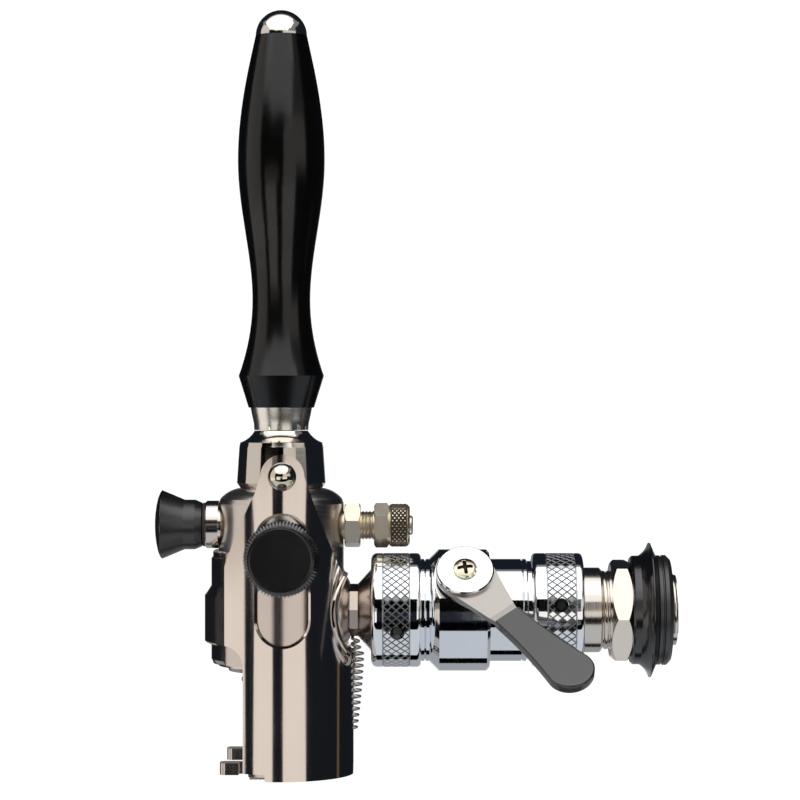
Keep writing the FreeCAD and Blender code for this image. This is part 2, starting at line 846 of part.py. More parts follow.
def lever_screw():
    """Pan head screw with a cross recess."""
    top = lever_height + lever_thickness + lever_cap_thickness
    shank_length = lever_cap_thickness + lever_screw_depth
    base = V(stem_x, 0, 0) + stem_axis * top
    rim = lever_screw_rim
    crown_r, crown_h = cap_middle(lever_screw_radius, lever_screw_height - rim)
    body = turned(base, stem_axis, (0, -shank_length), (lever_screw_shank - seat_gap, -shank_length),
                  (lever_screw_shank - seat_gap, 0), (lever_screw_radius, 0),
                  (lever_screw_radius, rim), ((crown_r, rim + crown_h), (0, lever_screw_height)))
    floor = base + stem_axis * (lever_screw_height - screw_cross_depth)
    for spin in (screw_cross_turn, screw_cross_turn + 90):
        bar = Part.makeBox(2 * screw_cross_reach, screw_cross_width, 2 * screw_cross_depth,
                           V(-screw_cross_reach, -screw_cross_width / 2, 0))
        body = body.cut(aimed(bar, floor, stem_axis, spin))
    return body


# Tail piece


def tail_piece():
    """Octagonal collar and cone, screwed into the body, with the flange for the front nut."""
    base = V(collar_front, 0, 0)
    collar = prism(base, X_AXIS, collar_corner_radius, collar_length, collar_sides, collar_spin)
    end = collar_length + cone_length
    cone = turned(base, X_AXIS, (0, collar_length), (collar_corner_radius, collar_length),
                  (cone_rim_radius, end - free_gap), (union_neck_radius, end), (0, end))
    spigot = rod(base - X_AXIS * tail_spigot_length, X_AXIS, tail_spigot_radius - seat_gap,
                 tail_spigot_length)
    whole = spigot.fuse([collar, cone, union_flange(front_union_front)])
    bore = rod(base - X_AXIS * 2 * tail_spigot_length, X_AXIS, shank_bore_radius,
               2 * (tail_spigot_length + collar_length + union_front_length))
    leg_hole = rod(on_line(spring_top_x - spring_coil_radius, spring_leg_top), V(0, 0, -1),
                   spring_wire + seat_gap, collar_corner_radius)
    return whole.cut(bore).cut(leg_hole).removeSplitter()


# Tap body


def main_body():
    """Turned body with a boss for the line, side ports, and the chamber for the lever."""
    body = turned(on_line(), Z_AXIS, (0, body_bottom), (body_radius, body_bottom),
                  (body_radius, body_top - body_edge_drop),
                  (body_dome_radius, body_top - body_dome_drop),
                  ((body_crown_radius, body_top - body_crown_drop), (body_flat_radius, body_top)),
                  (0, body_top))
    boss = turned(on_line(), X_AXIS, (0, 0), (boss_radius, 0),
                  (boss_radius, boss_reach - boss_dome_length),
                  ((boss_dome_radius, boss_reach - boss_dome_from_end), (boss_end_radius, boss_reach)),
                  (0, boss_reach))
    chamber = rod(on_line(0, chamber_floor), Z_AXIS, chamber_radius, body_top - chamber_floor)
    spool_bore = rod(on_line(spool_bore_front), X_AXIS, spool_bore_radius,
                     spool_bore_rear - spool_bore_front)
    inlet = rod(on_line(spool_bore_rear), X_AXIS, inlet_chamber_radius,
                boss_reach - tail_spigot_length - spool_bore_rear)
    thread = rod(on_line(boss_reach - tail_spigot_length), X_AXIS, tail_spigot_radius,
                 tail_spigot_length + overrun)
    reach = lower_arm_radius + math.radians(handle_swing) * lower_arm_length + 3 * free_gap
    slot = Part.makeBox(2 * reach, lever_slot_width, chamber_floor,
                        on_line(-reach, 0, -lever_slot_width / 2))
    outlet = rod(on_line(0, body_bottom), Z_AXIS, outlet_radius, -body_bottom)
    holder = rod(on_line(0, body_bottom), Z_AXIS, holder_spigot_radius,
                 holder_spigot_length + free_gap)
    gas_port = rod(on_line(0, gas_port_height), X_AXIS, gas_spigot_radius, body_radius + overrun)
    bleed_port = rod(on_line(0, bleed_port_height), front, bleed_spigot_radius,
                     body_radius + overrun)
    solid = body.fuse(boss)
    for hole in (chamber, spool_bore, inlet, thread, slot, outlet, holder, gas_port, bleed_port):
        solid = solid.cut(hole)
    return solid.removeSplitter()


def bonnet():
    """Screwed cap of the body, with a hole across it for the handle's hinge pin."""
    inside = bonnet_top_radius - bonnet_wall
    spigot_bottom = body_top - bonnet_spigot_length
    spigot = chamber_radius - seat_gap
    cap = turned(on_line(), Z_AXIS, (inside, spigot_bottom), (spigot, spigot_bottom),
                 (spigot, body_top + seat_gap), (bonnet_foot_radius, body_top + seat_gap),
                 (bonnet_bottom_radius, bonnet_bottom_height),
                 (bonnet_top_radius, bonnet_top_height),
                 (bonnet_shoulder_radius, bonnet_shoulder_height),
                 ((bonnet_flare_radius, bonnet_flare_height),
                  (bonnet_neck_radius, bonnet_neck_height)),
                 (bonnet_mouth_radius, bonnet_neck_height),
                 (bonnet_mouth_radius, bonnet_shoulder_height),
                 (inside, bonnet_shoulder_height - bonnet_crown_thickness))
    return cap.cut(rod(V(cheek_x, -body_radius, pivot_height), Y_AXIS, pin_radius + seat_gap,
                       2 * body_radius))


def bonnet_gasket():
    top = body_top - bonnet_spigot_length
    return tube(on_line(0, top - bonnet_gasket_thickness), Z_AXIS, chamber_radius - seat_gap,
                bonnet_top_radius - bonnet_wall, bonnet_gasket_thickness - seat_gap)


# Handle


def handle_lever():
    """One-piece lever: stud for the handle, hub on the hinge pin, arm down to the spool."""
    pivot = V(cheek_x, 0, pivot_height)
    stud_join = ferrule_bottom + lever_stud_step
    upper = turned(on_line(), Z_AXIS, (0, pivot_height), (lever_rod_radius, pivot_height),
                   (lever_rod_radius, stud_join), (lever_stud_radius, stud_join + edge_chamfer),
                   (lever_stud_radius, lever_stud_top - edge_chamfer),
                   (lever_stud_radius - edge_chamfer, lever_stud_top), (0, lever_stud_top))
    hub = rod(pivot - Y_AXIS * lever_hub_half_width, Y_AXIS, lever_hub_outer,
              2 * lever_hub_half_width)
    lower = turned(on_line(), Z_AXIS, (0, lever_ball_height), (lower_arm_radius, lever_ball_height),
                   (lower_arm_radius, chamber_floor + lever_arm_taper_from),
                   (lever_arm_waist, chamber_floor + lever_arm_taper_to),
                   (lever_arm_waist, pivot_height), (0, pivot_height))
    ball = Part.makeSphere(lower_arm_ball, on_line(0, lever_ball_height))
    lever = hub.fuse([upper, lower, ball])
    hole = rod(pivot - Y_AXIS * 2 * lever_hub_half_width, Y_AXIS, pin_radius + running_gap,
               4 * lever_hub_half_width)
    return lever.cut(hole).removeSplitter()


def handle_ferrule():
    """Bright cone under the handle; its underside is hollowed round the hinge pin."""
    hollow = math.hypot(ferrule_bottom_radius, ferrule_bottom - pivot_height)
    crown = pivot_height + math.sqrt(hollow ** 2 - lever_rod_radius ** 2)
    cone = turned(on_line(), Z_AXIS, (lever_stud_radius + seat_gap, crown),
                  (lever_stud_radius + seat_gap, ferrule_top), (ferrule_top_radius, ferrule_top),
                  (ferrule_bottom_radius, ferrule_bottom), (0, ferrule_bottom), (0, crown))
    scoop = Part.makeSphere(hollow - ferrule_edge, on_line(0, pivot_height))
    rod_hole = rod(on_line(0, ferrule_bottom), Z_AXIS, lever_rod_radius + seat_gap,
                   lever_stud_step + edge_chamfer + seat_gap)
    stud_hole = rod(on_line(0, ferrule_bottom), Z_AXIS, lever_stud_radius + seat_gap,
                    2 * ferrule_length)
    return cone.cut(scoop).cut(rod_hole).cut(stud_hole)


def handle_grip():
    """Turned black handle, slender at the waist and full in the hand."""
    curve = Part.BSplineCurve()
    points = [V(handle_flare_radius, 0, handle_bottom + handle_flare_at),
              V(handle_waist_radius, 0, handle_bottom + handle_waist_at),
              V(handle_belly_radius, 0, handle_bottom + handle_belly_at),
              V(handle_shoulder_radius, 0, handle_bottom + handle_shoulder_at),
              V(handle_top_radius, 0, handle_top)]
    curve.interpolate(Points=points, InitialTangent=V(handle_flare_lean, 0, 1),
                      FinalTangent=V(handle_top_lean, 0, 1))
    side = curve.toShape()
    foot = V(handle_foot_radius, 0, handle_bottom)
    edges = [Part.LineSegment(V(0, 0, handle_bottom), foot).toShape(),
             Part.LineSegment(foot, points[0]).toShape(), side,
             Part.LineSegment(points[-1], V(0, 0, handle_top)).toShape(),
             Part.LineSegment(V(0, 0, handle_top), V(0, 0, handle_bottom)).toShape()]
    handle = Part.Face(Part.Wire(edges)).revolve(V(0, 0, 0), Z_AXIS, 360)
    handle = handle.translated(on_line())
    stud_hole = rod(on_line(0, handle_bottom - overrun), Z_AXIS, lever_stud_radius + seat_gap,
                    lever_stud_in_handle + overrun + free_gap)
    tip_hole = rod(on_line(0, handle_top - tip_spigot_length - free_gap), Z_AXIS,
                   tip_spigot_radius + seat_gap, tip_spigot_length + free_gap + overrun)
    return handle.cut(stud_hole).cut(tip_hole)


def handle_tip():
    dome = handle_top_radius - seat_gap
    low = math.sqrt(0.5)
    return turned(on_line(0, handle_top), Z_AXIS, (0, -tip_spigot_length),
                  (tip_spigot_radius, -tip_spigot_length), (tip_spigot_radius, seat_gap),
                  (dome, seat_gap), ((dome * low, seat_gap + dome * low), (0, seat_gap + dome)))


def valve_spool():
    """Spool with a cross hole for the lever's ball and a groove at each end for a ring."""
    half = spool_length / 2
    groove = spool_radius - spool_ring_section
    points = [(0, -half), (spool_radius, -half)]
    for centre in (-half + spool_ring_inset, half - spool_ring_inset):
        points += [(spool_radius, centre - spool_ring_section), (groove, centre - spool_ring_section),
                   (groove, centre + spool_ring_section), (spool_radius, centre + spool_ring_section)]
    points += [(spool_radius, half), (0, half)]
    spool = turned(on_line(), X_AXIS, *points)
    hole = rod(on_line(0, lever_ball_height - lower_arm_ball - spool_hole_room), Z_AXIS,
               spool_hole_radius, 2 * spool_radius)
    return spool.cut(hole)


def spool_rings():
    half = spool_length / 2
    centre_radius = spool_radius - spool_ring_section / 2 + seat_gap / 2
    rings = []
    for offset in (-half + spool_ring_inset, half - spool_ring_inset):
        rings.append(o_ring(on_line(offset), X_AXIS, centre_radius, spool_ring_section / 2))
    return Part.makeCompound(rings)


# Guard shell


def guard_side():
    """Side outline of the guard, as a solid right through both cheeks."""
    apex = pivot_height + ear_radius
    left = cheek_offset - ear_neck_half_width
    right = cheek_offset + ear_neck_half_width
    low = guard_bottom
    outer = guard_outer_radius + overrun
    neck = pivot_height - ear_neck_drop
    wire = outline((guard_leg_front, low), (guard_leg_front, guard_leg_top),
                   ((guard_leg_front - leg_sweep_in, guard_front_bottom - leg_sweep_down),
                    (guard_front, guard_front_bottom)),
                   (guard_front, guard_flare_height),
                   ((guard_front + ear_sweep_in, guard_flare_height + ear_sweep_up), (left, neck)),
                   (cheek_offset - ear_radius, pivot_height),
                   ((cheek_offset, apex), (cheek_offset + ear_radius, pivot_height)),
                   (right, neck),
                   ((guard_rear_flare - rear_sweep_in, guard_rear_top + rear_sweep_up),
                    (guard_rear_flare, guard_rear_top)),
                   (outer, guard_rear_top - guard_rear_drop), (outer, low))
    reach = 2 * guard_outer_radius
    solid = Part.Face(wire).extrude(V(0, 2 * reach, 0))
    return solid.translated(V(body_x, -reach, 0))


def slot_cutter(width, top, bottom, reach):
    """Round-ended upright slot through the near cheek."""
    radius = width / 2
    upper = rod(V(cheek_x, -reach, top - radius), Y_AXIS, radius, reach)
    lower = rod(V(cheek_x, -reach, bottom + radius), Y_AXIS, radius, reach)
    middle = Part.makeBox(width, reach, top - bottom - width,
                          V(cheek_x - radius, -reach, bottom + radius))
    return upper.fuse([lower, middle])


def slot_rim(shell):
    """Edges of the slot in the outer face of the sheet."""
    rim = []
    for edge in shell.Edges:
        middle = edge.valueAt((edge.FirstParameter + edge.LastParameter) / 2)
        radius = math.hypot(middle.x - body_x, middle.y)
        outside = abs(radius - guard_outer_radius) < seat_gap
        across = abs(middle.x - cheek_x) < slot_width / 2 + seat_gap
        along = slot_bottom - seat_gap < middle.z < slot_top + seat_gap
        if outside and across and along and middle.y < 0:
            rim.append(edge)
    return rim


def guard_shell():
    """Formed sheet guard: two cheeks with ears, closed at the back round the line's boss."""
    height = pivot_height + ear_radius - guard_bottom + overrun
    wall = tube(on_line(0, guard_bottom), Z_AXIS, guard_outer_radius, guard_inner_radius, height)
    shell = wall.common(guard_side())
    lip_radius = boss_window_radius + boss_lip_width
    lip_outer = rod(on_line(), X_AXIS, lip_radius, guard_outer_radius + boss_lip_height + overrun)
    lip_wall = tube(on_line(0, -lip_radius - overrun), Z_AXIS, guard_outer_radius + boss_lip_height,
                    guard_inner_radius, 2 * lip_radius)
    lip = lip_wall.common(lip_outer).common(guard_side())
    shell = shell.fuse(lip)
    reach = 2 * guard_outer_radius
    window = rod(on_line(), X_AXIS, boss_window_radius, reach)
    slot = slot_cutter(slot_width, slot_top, slot_bottom, reach)
    channel_top = -lip_radius
    channel = rod(on_line(channel_x, channel_bottom), Z_AXIS, channel_radius + channel_wall,
                  channel_top - channel_bottom)
    inside = rod(on_line(0, channel_bottom), Z_AXIS, guard_inner_radius + guard_wall / 2,
                 channel_top - channel_bottom)
    shell = shell.fuse(channel.common(inside))
    spring_slot = rod(on_line(channel_x, guard_bottom - overrun), Z_AXIS, channel_radius,
                      channel_top - guard_bottom + 4 * overrun)
    notch = Part.makeBox(guard_notch_width + overrun, 2 * reach, guard_notch_height + overrun,
                         on_line(guard_leg_front - overrun, guard_bottom - overrun, -reach))
    pins = rod(V(cheek_x, -reach, pivot_height), Y_AXIS, pin_radius + seat_gap, 2 * reach)
    for cutter in (window, slot, spring_slot, notch, pins):
        shell = shell.cut(cutter)
    shell = shell.removeSplitter()
    return shell.makeChamfer(slot_chamfer, slot_rim(shell))


def hinge_pin():
    """Pin through ears, spacers, bonnet and lever; the dome nuts close its ends."""
    reach = guard_outer_radius + nut_cylinder + pin_in_nut
    return rod(V(cheek_x, -reach, pivot_height), Y_AXIS, pin_radius, 2 * reach)


def both_sides(make):
    return Part.makeCompound([make(near), make(-near)])


def ear_spacer(side):
    """Bush between the bonnet and an ear, shaped to the bonnet's round side."""
    base = V(cheek_x, 0, pivot_height)
    low = on_line(0, pivot_height - 2 * spacer_radius)
    bush = tube(base, side, spacer_radius, pin_radius + seat_gap, guard_inner_radius)
    room = tube(low, Z_AXIS, guard_inner_radius - seat_gap, bonnet_bottom_radius + seat_gap,
                4 * spacer_radius)
    return bush.common(room)


def dome_nut(side):
    """Low round nut with a domed end."""
    base = V(cheek_x, 0, pivot_height) + side * (guard_outer_radius + seat_gap)
    crown_r, crown_h = cap_middle(nut_radius, nut_dome)
    nut = turned(base, side, (0, 0), (nut_radius, 0), (nut_radius, nut_cylinder),
                 ((crown_r, nut_cylinder + crown_h), (0, nut_cylinder + nut_dome)))
    return nut.cut(rod(base, side, pin_radius + seat_gap, nut_cylinder + pin_in_nut + running_gap))


# Carriage


def carriage():
    """Sleeve on the body with a thick front, and a skirt below that carries the fork."""
    inner = carriage_inner_radius
    skirt = turned(on_line(), Z_AXIS, (inner, carriage_bottom),
                   (carriage_outer_radius, carriage_bottom),
                   (carriage_outer_radius, carriage_top - fine_chamfer),
                   (carriage_outer_radius - fine_chamfer, carriage_top), (inner, carriage_top))
    bulge = turned(on_line(), Z_AXIS, (inner, carriage_skin_bottom),
                   (bulge_radius - edge_chamfer, carriage_skin_bottom),
                   (bulge_radius, bulge_bottom),
                   (bulge_radius, block_bottom - edge_chamfer),
                   (block_radius - edge_chamfer, block_bottom - edge_chamfer),
                   (block_radius, block_bottom),
                   (block_radius, block_top - block_slope - fine_chamfer),
                   (block_radius - fine_chamfer, block_top - block_slope),
                   (bulge_radius, block_top), (bulge_radius, carriage_top - bulge_top_slope),
                   (inner, carriage_top))
    reach = 2 * block_radius
    bulge = bulge.common(Part.makeBox(reach, 2 * bulge_half_width, carriage_top - carriage_bottom,
                                      on_line(-reach, carriage_bottom, -bulge_half_width)))
    front_opening = Part.makeBox(reach, 2 * reach,
                                 carriage_skin_bottom - carriage_bottom + overrun,
                                 on_line(carriage_leg_front - reach, carriage_bottom - overrun,
                                         -reach))
    boss_half = boss_radius + free_gap
    boss_slot = Part.makeBox(reach, 2 * boss_half, carriage_top + overrun,
                             on_line(0, 0, -boss_half))
    boss_round = rod(on_line(0), X_AXIS, boss_half, reach)
    window_half = channel_radius + channel_wall + free_gap
    window = Part.makeBox(reach, 2 * window_half, -spring_window_bottom,
                          on_line(0, spring_window_bottom, -window_half))
    lift_half = boss_half + boss_slot_flare
    lift_room = Part.makeBox(reach, 2 * lift_half, carriage_stroke + overrun,
                             on_line(0, carriage_top - carriage_stroke, -lift_half))
    ear = rod(knob_centre, near, stud_ear_radius, carriage_outer_radius).common(
        tube(on_line(0, knob_height - stud_ear_radius), Z_AXIS, carriage_outer_radius, inner,
             2 * stud_ear_radius))
    body = skirt.fuse([bulge, ear])
    for cutter in (front_opening, boss_slot, boss_round, window, lift_room):
        body = body.cut(cutter)
    pin_hole = rod(on_line(spring_pin_x, spring_pin_height, -spring_pin_length), Y_AXIS,
                   spring_pin_radius, 2 * spring_pin_length)
    stud_hole = rod(knob_centre, near, stud_foot_radius + seat_gap, reach)
    return body.cut(pin_hole).cut(stud_hole).removeSplitter()


def neck_fork():
    """Horseshoe plate: its tabs stick out in front of the guard."""
    low = fork_top - fork_thickness
    outer = carriage_inner_radius - seat_gap
    disc = rod(on_line(0, low), Z_AXIS, outer, fork_thickness)
    cut_low = low - overrun
    cut_height = fork_thickness + 2 * overrun
    throat = rod(on_line(0, cut_low), Z_AXIS, fork_throat_radius, cut_height)
    mouth = Part.makeBox(2 * outer, 2 * fork_throat_radius, cut_height,
                         on_line(-2 * outer, cut_low, -fork_throat_radius))
    front_cut = Part.makeBox(2 * outer, 4 * outer, cut_height,
                             on_line(carriage_leg_front - 2 * outer, cut_low, -2 * outer))
    plate = disc.cut(throat).cut(mouth).cut(front_cut)
    arms = []
    arm_depth = (outer ** 2 - carriage_leg_front ** 2) ** 0.5 - fork_throat_radius
    for side in (-1, 1):
        start = fork_throat_radius if side > 0 else -fork_throat_radius - arm_depth
        arms.append(Part.makeBox(carriage_leg_front - fork_shoulder_front + fork_overlap, arm_depth,
                                 fork_thickness, on_line(fork_shoulder_front, low, start)))
        tab_start = fork_throat_radius if side > 0 else -fork_throat_radius - fork_tab_width
        tab = Part.makeBox(fork_shoulder_front - fork_tab_front + fork_overlap, fork_tab_width,
                           fork_thickness, on_line(fork_tab_front, low, tab_start))
        uprights = []
        for edge in tab.Edges:
            if abs(edge.BoundBox.ZLength - fork_thickness) < 1e-6:
                if abs(edge.BoundBox.XMin - (body_x + fork_tab_front)) < 1e-6:
                    uprights.append(edge)
        arms.append(tab.makeFillet(fork_tab_radius, uprights))
    return plate.fuse(arms).removeSplitter()


def jaw_pads():
    """Ribbed pads under the fork's arms."""
    top = fork_top - fork_thickness - seat_gap
    outer = (carriage_inner_radius ** 2 - carriage_leg_front ** 2) ** 0.5
    pads = []
    for side in (-1, 1):
        depth = outer - fork_throat_radius - pad_rib_width
        start = fork_throat_radius if side > 0 else -fork_throat_radius - depth
        pad = Part.makeBox(pad_length, depth, pad_height,
                           on_line(carriage_leg_front + pad_inset, top - pad_height, start))
        pitch = pad_length / pad_rib_count
        ribs = []
        for i in range(pad_rib_count):
            at = carriage_leg_front + pad_inset + (i + 0.25) * pitch
            rib_start = start + depth - pad_rib_root if side > 0 else start - pad_rib_width
            ribs.append(Part.makeBox(pitch / 2, pad_rib_width + pad_rib_root, pad_height,
                                     on_line(at, top - pad_height, rib_start)))
        pads.append(pad.fuse(ribs).removeSplitter())
    return Part.makeCompound(pads)


# Clamp knob


def clamp_knob():
    """Moulded knob with a fluted rim and a flat face."""
    depth = knob_face - knob_back
    corner = round_share * knob_edge
    knob = turned(knob_centre + near * knob_back, near, (0, 0),
                  (knob_rim_radius - edge_chamfer, 0), (knob_rim_radius, edge_chamfer),
                  (knob_rim_radius, knob_rim_width), (knob_face_radius, depth - knob_edge),
                  ((knob_face_radius - corner, depth - corner),
                   (knob_face_radius - knob_edge, depth)), (0, depth))
    return knob.cut(rod(knob_centre + near * knob_back, near, stud_radius + thread_gap,
                        knob_thread_depth))


def clamp_stud():
    """Stud fixed in the carriage wall, on which the knob screws."""
    inside = carriage_outer_radius + seat_gap
    base = knob_centre + near * inside
    body = rod(base, near, stud_radius, knob_face - stud_from_face - inside)
    foot = rod(knob_centre + near * (carriage_inner_radius + running_gap), near, stud_foot_radius,
               inside - carriage_inner_radius)
    return body.fuse(foot).removeSplitter()


def clamp_washer():
    start = knob_back - seat_gap - clamp_washer_thickness
    return tube(knob_centre + near * start, near, clamp_washer_radius, stud_radius + thread_gap,
                clamp_washer_thickness)


# Return spring


def return_spring():
    """Tension spring, with a straight top leg in the collar and an eye round the pin below."""
    length = spring_top - spring_bottom
    pitch = length / spring_turns
    helix = Part.makeHelix(pitch, length, spring_coil_radius)
    start = helix.Vertexes[0].Point
    lead = math.atan(pitch / (2 * math.pi * spring_coil_radius))
    section = Part.Wire(Part.makeCircle(spring_wire, start, V(0, math.cos(lead), math.sin(lead))))
    sweep = Part.BRepOffsetAPI.MakePipeShell(Part.Wire(helix.Edges))
    sweep.setFrenetMode(True)
    sweep.add(section)
    sweep.build()
    sweep.makeSolid()
    coil = sweep.shape()
    coil.rotate(V(0, 0, 0), Z_AXIS, 180)
    lean = math.degrees(math.atan((spring_top_x - spring_bottom_x) / length))
    coil.rotate(V(0, 0, 0), Y_AXIS, lean)
    coil.translate(on_line(spring_bottom_x, spring_bottom))
    leg = rod(on_line(spring_top_x - spring_coil_radius, spring_top - spring_end_overlap), Z_AXIS,
              spring_wire, spring_leg_top - spring_top)
    eye_top = spring_pin_height + spring_eye_radius
    neck = rod(on_line(spring_pin_x, eye_top), Z_AXIS, spring_wire,
               spring_bottom + spring_end_overlap - eye_top)
    eye = o_ring(on_line(spring_pin_x, spring_pin_height), Y_AXIS, spring_eye_radius, spring_wire)
    return coil.fuse([leg, neck, eye])


def spring_pin():
    return rod(on_line(spring_pin_x, spring_pin_height, -spring_pin_length / 2), Y_AXIS,
               spring_pin_radius, spring_pin_length)


# Bottle seal and spout


def seal_holder():
    """Flanged nut in the body's foot that carries the bottle seal."""
    spigot = holder_spigot_radius - seat_gap
    flange_low = -seat_gap - holder_flange_thickness
    return turned(on_line(0, body_bottom), Z_AXIS, (spout_radius + seat_gap, holder_spigot_length),
                  (spigot, holder_spigot_length), (spigot, -seat_gap),
                  (holder_flange_radius, -seat_gap),
                  (holder_flange_radius - edge_chamfer, flange_low),
                  (holder_boss_radius, flange_low),
                  (holder_boss_radius, flange_low - holder_boss_length),
                  (spout_radius + seat_gap, flange_low - holder_boss_length))


def bottle_seal():
    """Conical rubber plug that the bottle's mouth is pressed against."""
    bore = spout_radius + seat_gap
    return turned(on_line(0, seal_top), Z_AXIS, (bore, 0), (seal_top_radius, 0),
                  (seal_top_radius, -seal_rim), (seal_bottom_radius, -seal_height + edge_chamfer),
                  (seal_bottom_radius - edge_chamfer, -seal_height), (bore, -seal_height))


def fill_spout():
    """Tube with an umbrella end that sends the beer to the bottle's wall."""
    top = body_bottom + holder_spigot_length
    low = top - spout_length
    rim = spout_radius + spout_collar_width
    shoulder = seal_top - seal_height - seat_gap
    stop = shoulder - spout_collar_height
    inlet = top - spout_seat_gap
    spout = turned(on_line(), Z_AXIS, (spout_bore, inlet), (spout_radius, inlet),
                   (spout_radius, shoulder), (rim, shoulder), (rim, stop), (spout_radius, stop),
                   (spout_radius, low), (spout_bore, low))
    for i in range(spout_port_count):
        angle = 2 * math.pi * (i + 0.5) / spout_port_count
        spout = spout.cut(rod(on_line(0, low + spout_port_height),
                              V(math.cos(angle), math.sin(angle), 0), spout_port_radius,
                              2 * spout_radius))
    umbrella = turned(on_line(0, low), Z_AXIS, (0, press_gap), (spout_radius, press_gap),
                      (spreader_radius, -spreader_rim_at),
                      (spreader_radius - fine_chamfer, -spreader_rim_at - fine_chamfer),
                      (0, -spreader_height))
    return spout.fuse(umbrella).removeSplitter()


# Gas fitting


def gas_nipple():
    base = on_line(0, gas_port_height)
    hexagon = hex_nut(base + X_AXIS * gas_face, X_AXIS, gas_hex_corner, gas_hex_length,
                      gas_hex_chamfer, gas_hex_spin)
    neck_end = gas_nut_end - gas_seat_from_end
    root = gas_neck_radius - gas_neck_ridge_depth
    points = [(0, gas_hex_end), (gas_neck_radius, gas_hex_end)]
    pitch = gas_neck_shown / gas_neck_ridges
    for i in range(gas_neck_ridges):
        at = gas_hex_end + i * pitch
        points += [(root, at + 0.25 * pitch), (gas_neck_radius, at + 0.75 * pitch)]
    points += [(gas_neck_radius, neck_end), (0, neck_end)]
    neck = turned(base, X_AXIS, *points)
    spigot = rod(base + X_AXIS * (gas_face - gas_spigot_length), X_AXIS,
                 gas_spigot_radius - seat_gap, gas_spigot_length)
    bore = rod(base, X_AXIS, gas_bore, 2 * gas_nut_end)
    return spigot.fuse([hexagon, neck]).cut(bore).removeSplitter()


def gas_nut():
    """Hose nut: hexagon in front, knurled behind, closed round the hose stub."""
    base = on_line(gas_nut_start, gas_port_height)
    hexagon = hex_nut(base, X_AXIS, gas_nut_corner, gas_nut_hex_length, gas_hex_chamfer,
                      gas_nut_spin)
    length = gas_nut_hex_length + gas_nut_round_length
    neck = gas_nut_round_radius - fine_chamfer
    round_part = turned(base, X_AXIS, (0, gas_hex_chamfer), (neck, gas_hex_chamfer),
                        (neck, gas_nut_hex_length),
                        (gas_nut_round_radius, gas_nut_hex_length + fine_chamfer),
                        (gas_nut_round_radius, length - edge_chamfer),
                        (gas_nut_round_radius - edge_chamfer, length), (0, length))
    inside = rod(base, X_AXIS, gas_neck_radius + thread_gap, length - gas_nut_lip)
    mouth = rod(base, X_AXIS, gas_stub_radius + thread_gap, 2 * length)
    return hexagon.fuse(round_part).cut(inside).cut(mouth).removeSplitter()


def gas_stub():
    """Hose stub, held by its flange between the nipple and the nut."""
    base = on_line(gas_nut_end - gas_seat_from_end + seat_gap, gas_port_height)
    length = gas_seat_from_end + gas_stub_shown
    return turned(base, X_AXIS, (gas_stub_bore, 0), (gas_neck_radius, 0),
                  (gas_neck_radius, gas_stub_flange), (gas_stub_radius, gas_stub_flange),
                  (gas_stub_radius, length - fine_chamfer),
                  (gas_stub_radius - fine_chamfer, length), (gas_stub_bore, length))


# Bleed valve


def bleed_bushing():
    base = on_line(0, bleed_port_height)
    bore = bleed_needle_radius + running_gap
    seat = bleed_face - bleed_spigot_length
    spigot = bleed_spigot_radius - seat_gap
    ring_room = bleed_needle_radius + bleed_ring_section + running_gap
    return turned(base, front, (bleed_needle_tip, seat), (spigot, seat),
                  (spigot, bleed_face), (bleed_bushing_radius, bleed_face),
                  (bleed_bushing_radius, bleed_bushing_end - fine_chamfer),
                  (bleed_bushing_radius - fine_chamfer, bleed_bushing_end),
                  (ring_room, bleed_bushing_end), (ring_room, seat + bleed_gland_height),
                  (bore, seat + bleed_gland_height), (bore, seat + bleed_seat_height),
                  (bleed_needle_tip, seat + bleed_seat_height - bore + bleed_needle_tip))


def bleed_gasket():
    start = bleed_bushing_end + seat_gap
    return tube(on_line(-start, bleed_port_height), front, bleed_gasket_radius,
                bleed_needle_radius + free_gap, bleed_gasket_thickness)


def bleed_needle():
    base = on_line(0, bleed_port_height)
    radius = bleed_needle_radius
    shoulder = bleed_face - bleed_spigot_length + bleed_seat_height + running_gap
    nose = shoulder - radius + bleed_needle_nose
    end = bleed_knob_back + bleed_needle_in_knob
    ring_at = bleed_face + bleed_ring_from_face
    groove = radius - bleed_ring_section / 2
    return turned(base, front, (0, nose), (bleed_needle_nose, nose),
                  (radius, shoulder), (radius, ring_at - bleed_ring_section),
                  (groove, ring_at - bleed_ring_section), (groove, ring_at + bleed_ring_section),
                  (radius, ring_at + bleed_ring_section), (radius, end), (0, end))


def bleed_ring():
    centre = on_line(-bleed_face - bleed_ring_from_face, bleed_port_height)
    half = bleed_ring_section / 2 + running_gap
    return o_ring(centre, front, bleed_needle_radius + running_gap + seat_gap, half)


def bleed_knob():
    """Trumpet-shaped knob with a domed face."""
    base = on_line(-bleed_knob_back, bleed_port_height)
    straight = bleed_knob_taper + bleed_knob_cylinder
    dome_at = bleed_knob_rim_at + bleed_knob_rim_width
    dome_r, dome_h = cap_middle(bleed_knob_rim_radius, bleed_knob_length - dome_at)
    knob = turned(base, front, (0, 0), (bleed_knob_start_radius, 0),
                  (bleed_knob_radius, bleed_knob_taper), (bleed_knob_radius, straight),
                  (bleed_knob_rim_radius, bleed_knob_rim_at), (bleed_knob_rim_radius, dome_at),
                  ((dome_r, dome_at + dome_h), (0, bleed_knob_length)))
    bore = rod(base, front, bleed_needle_radius + press_gap, bleed_needle_in_knob)
    return knob.cut(bore)


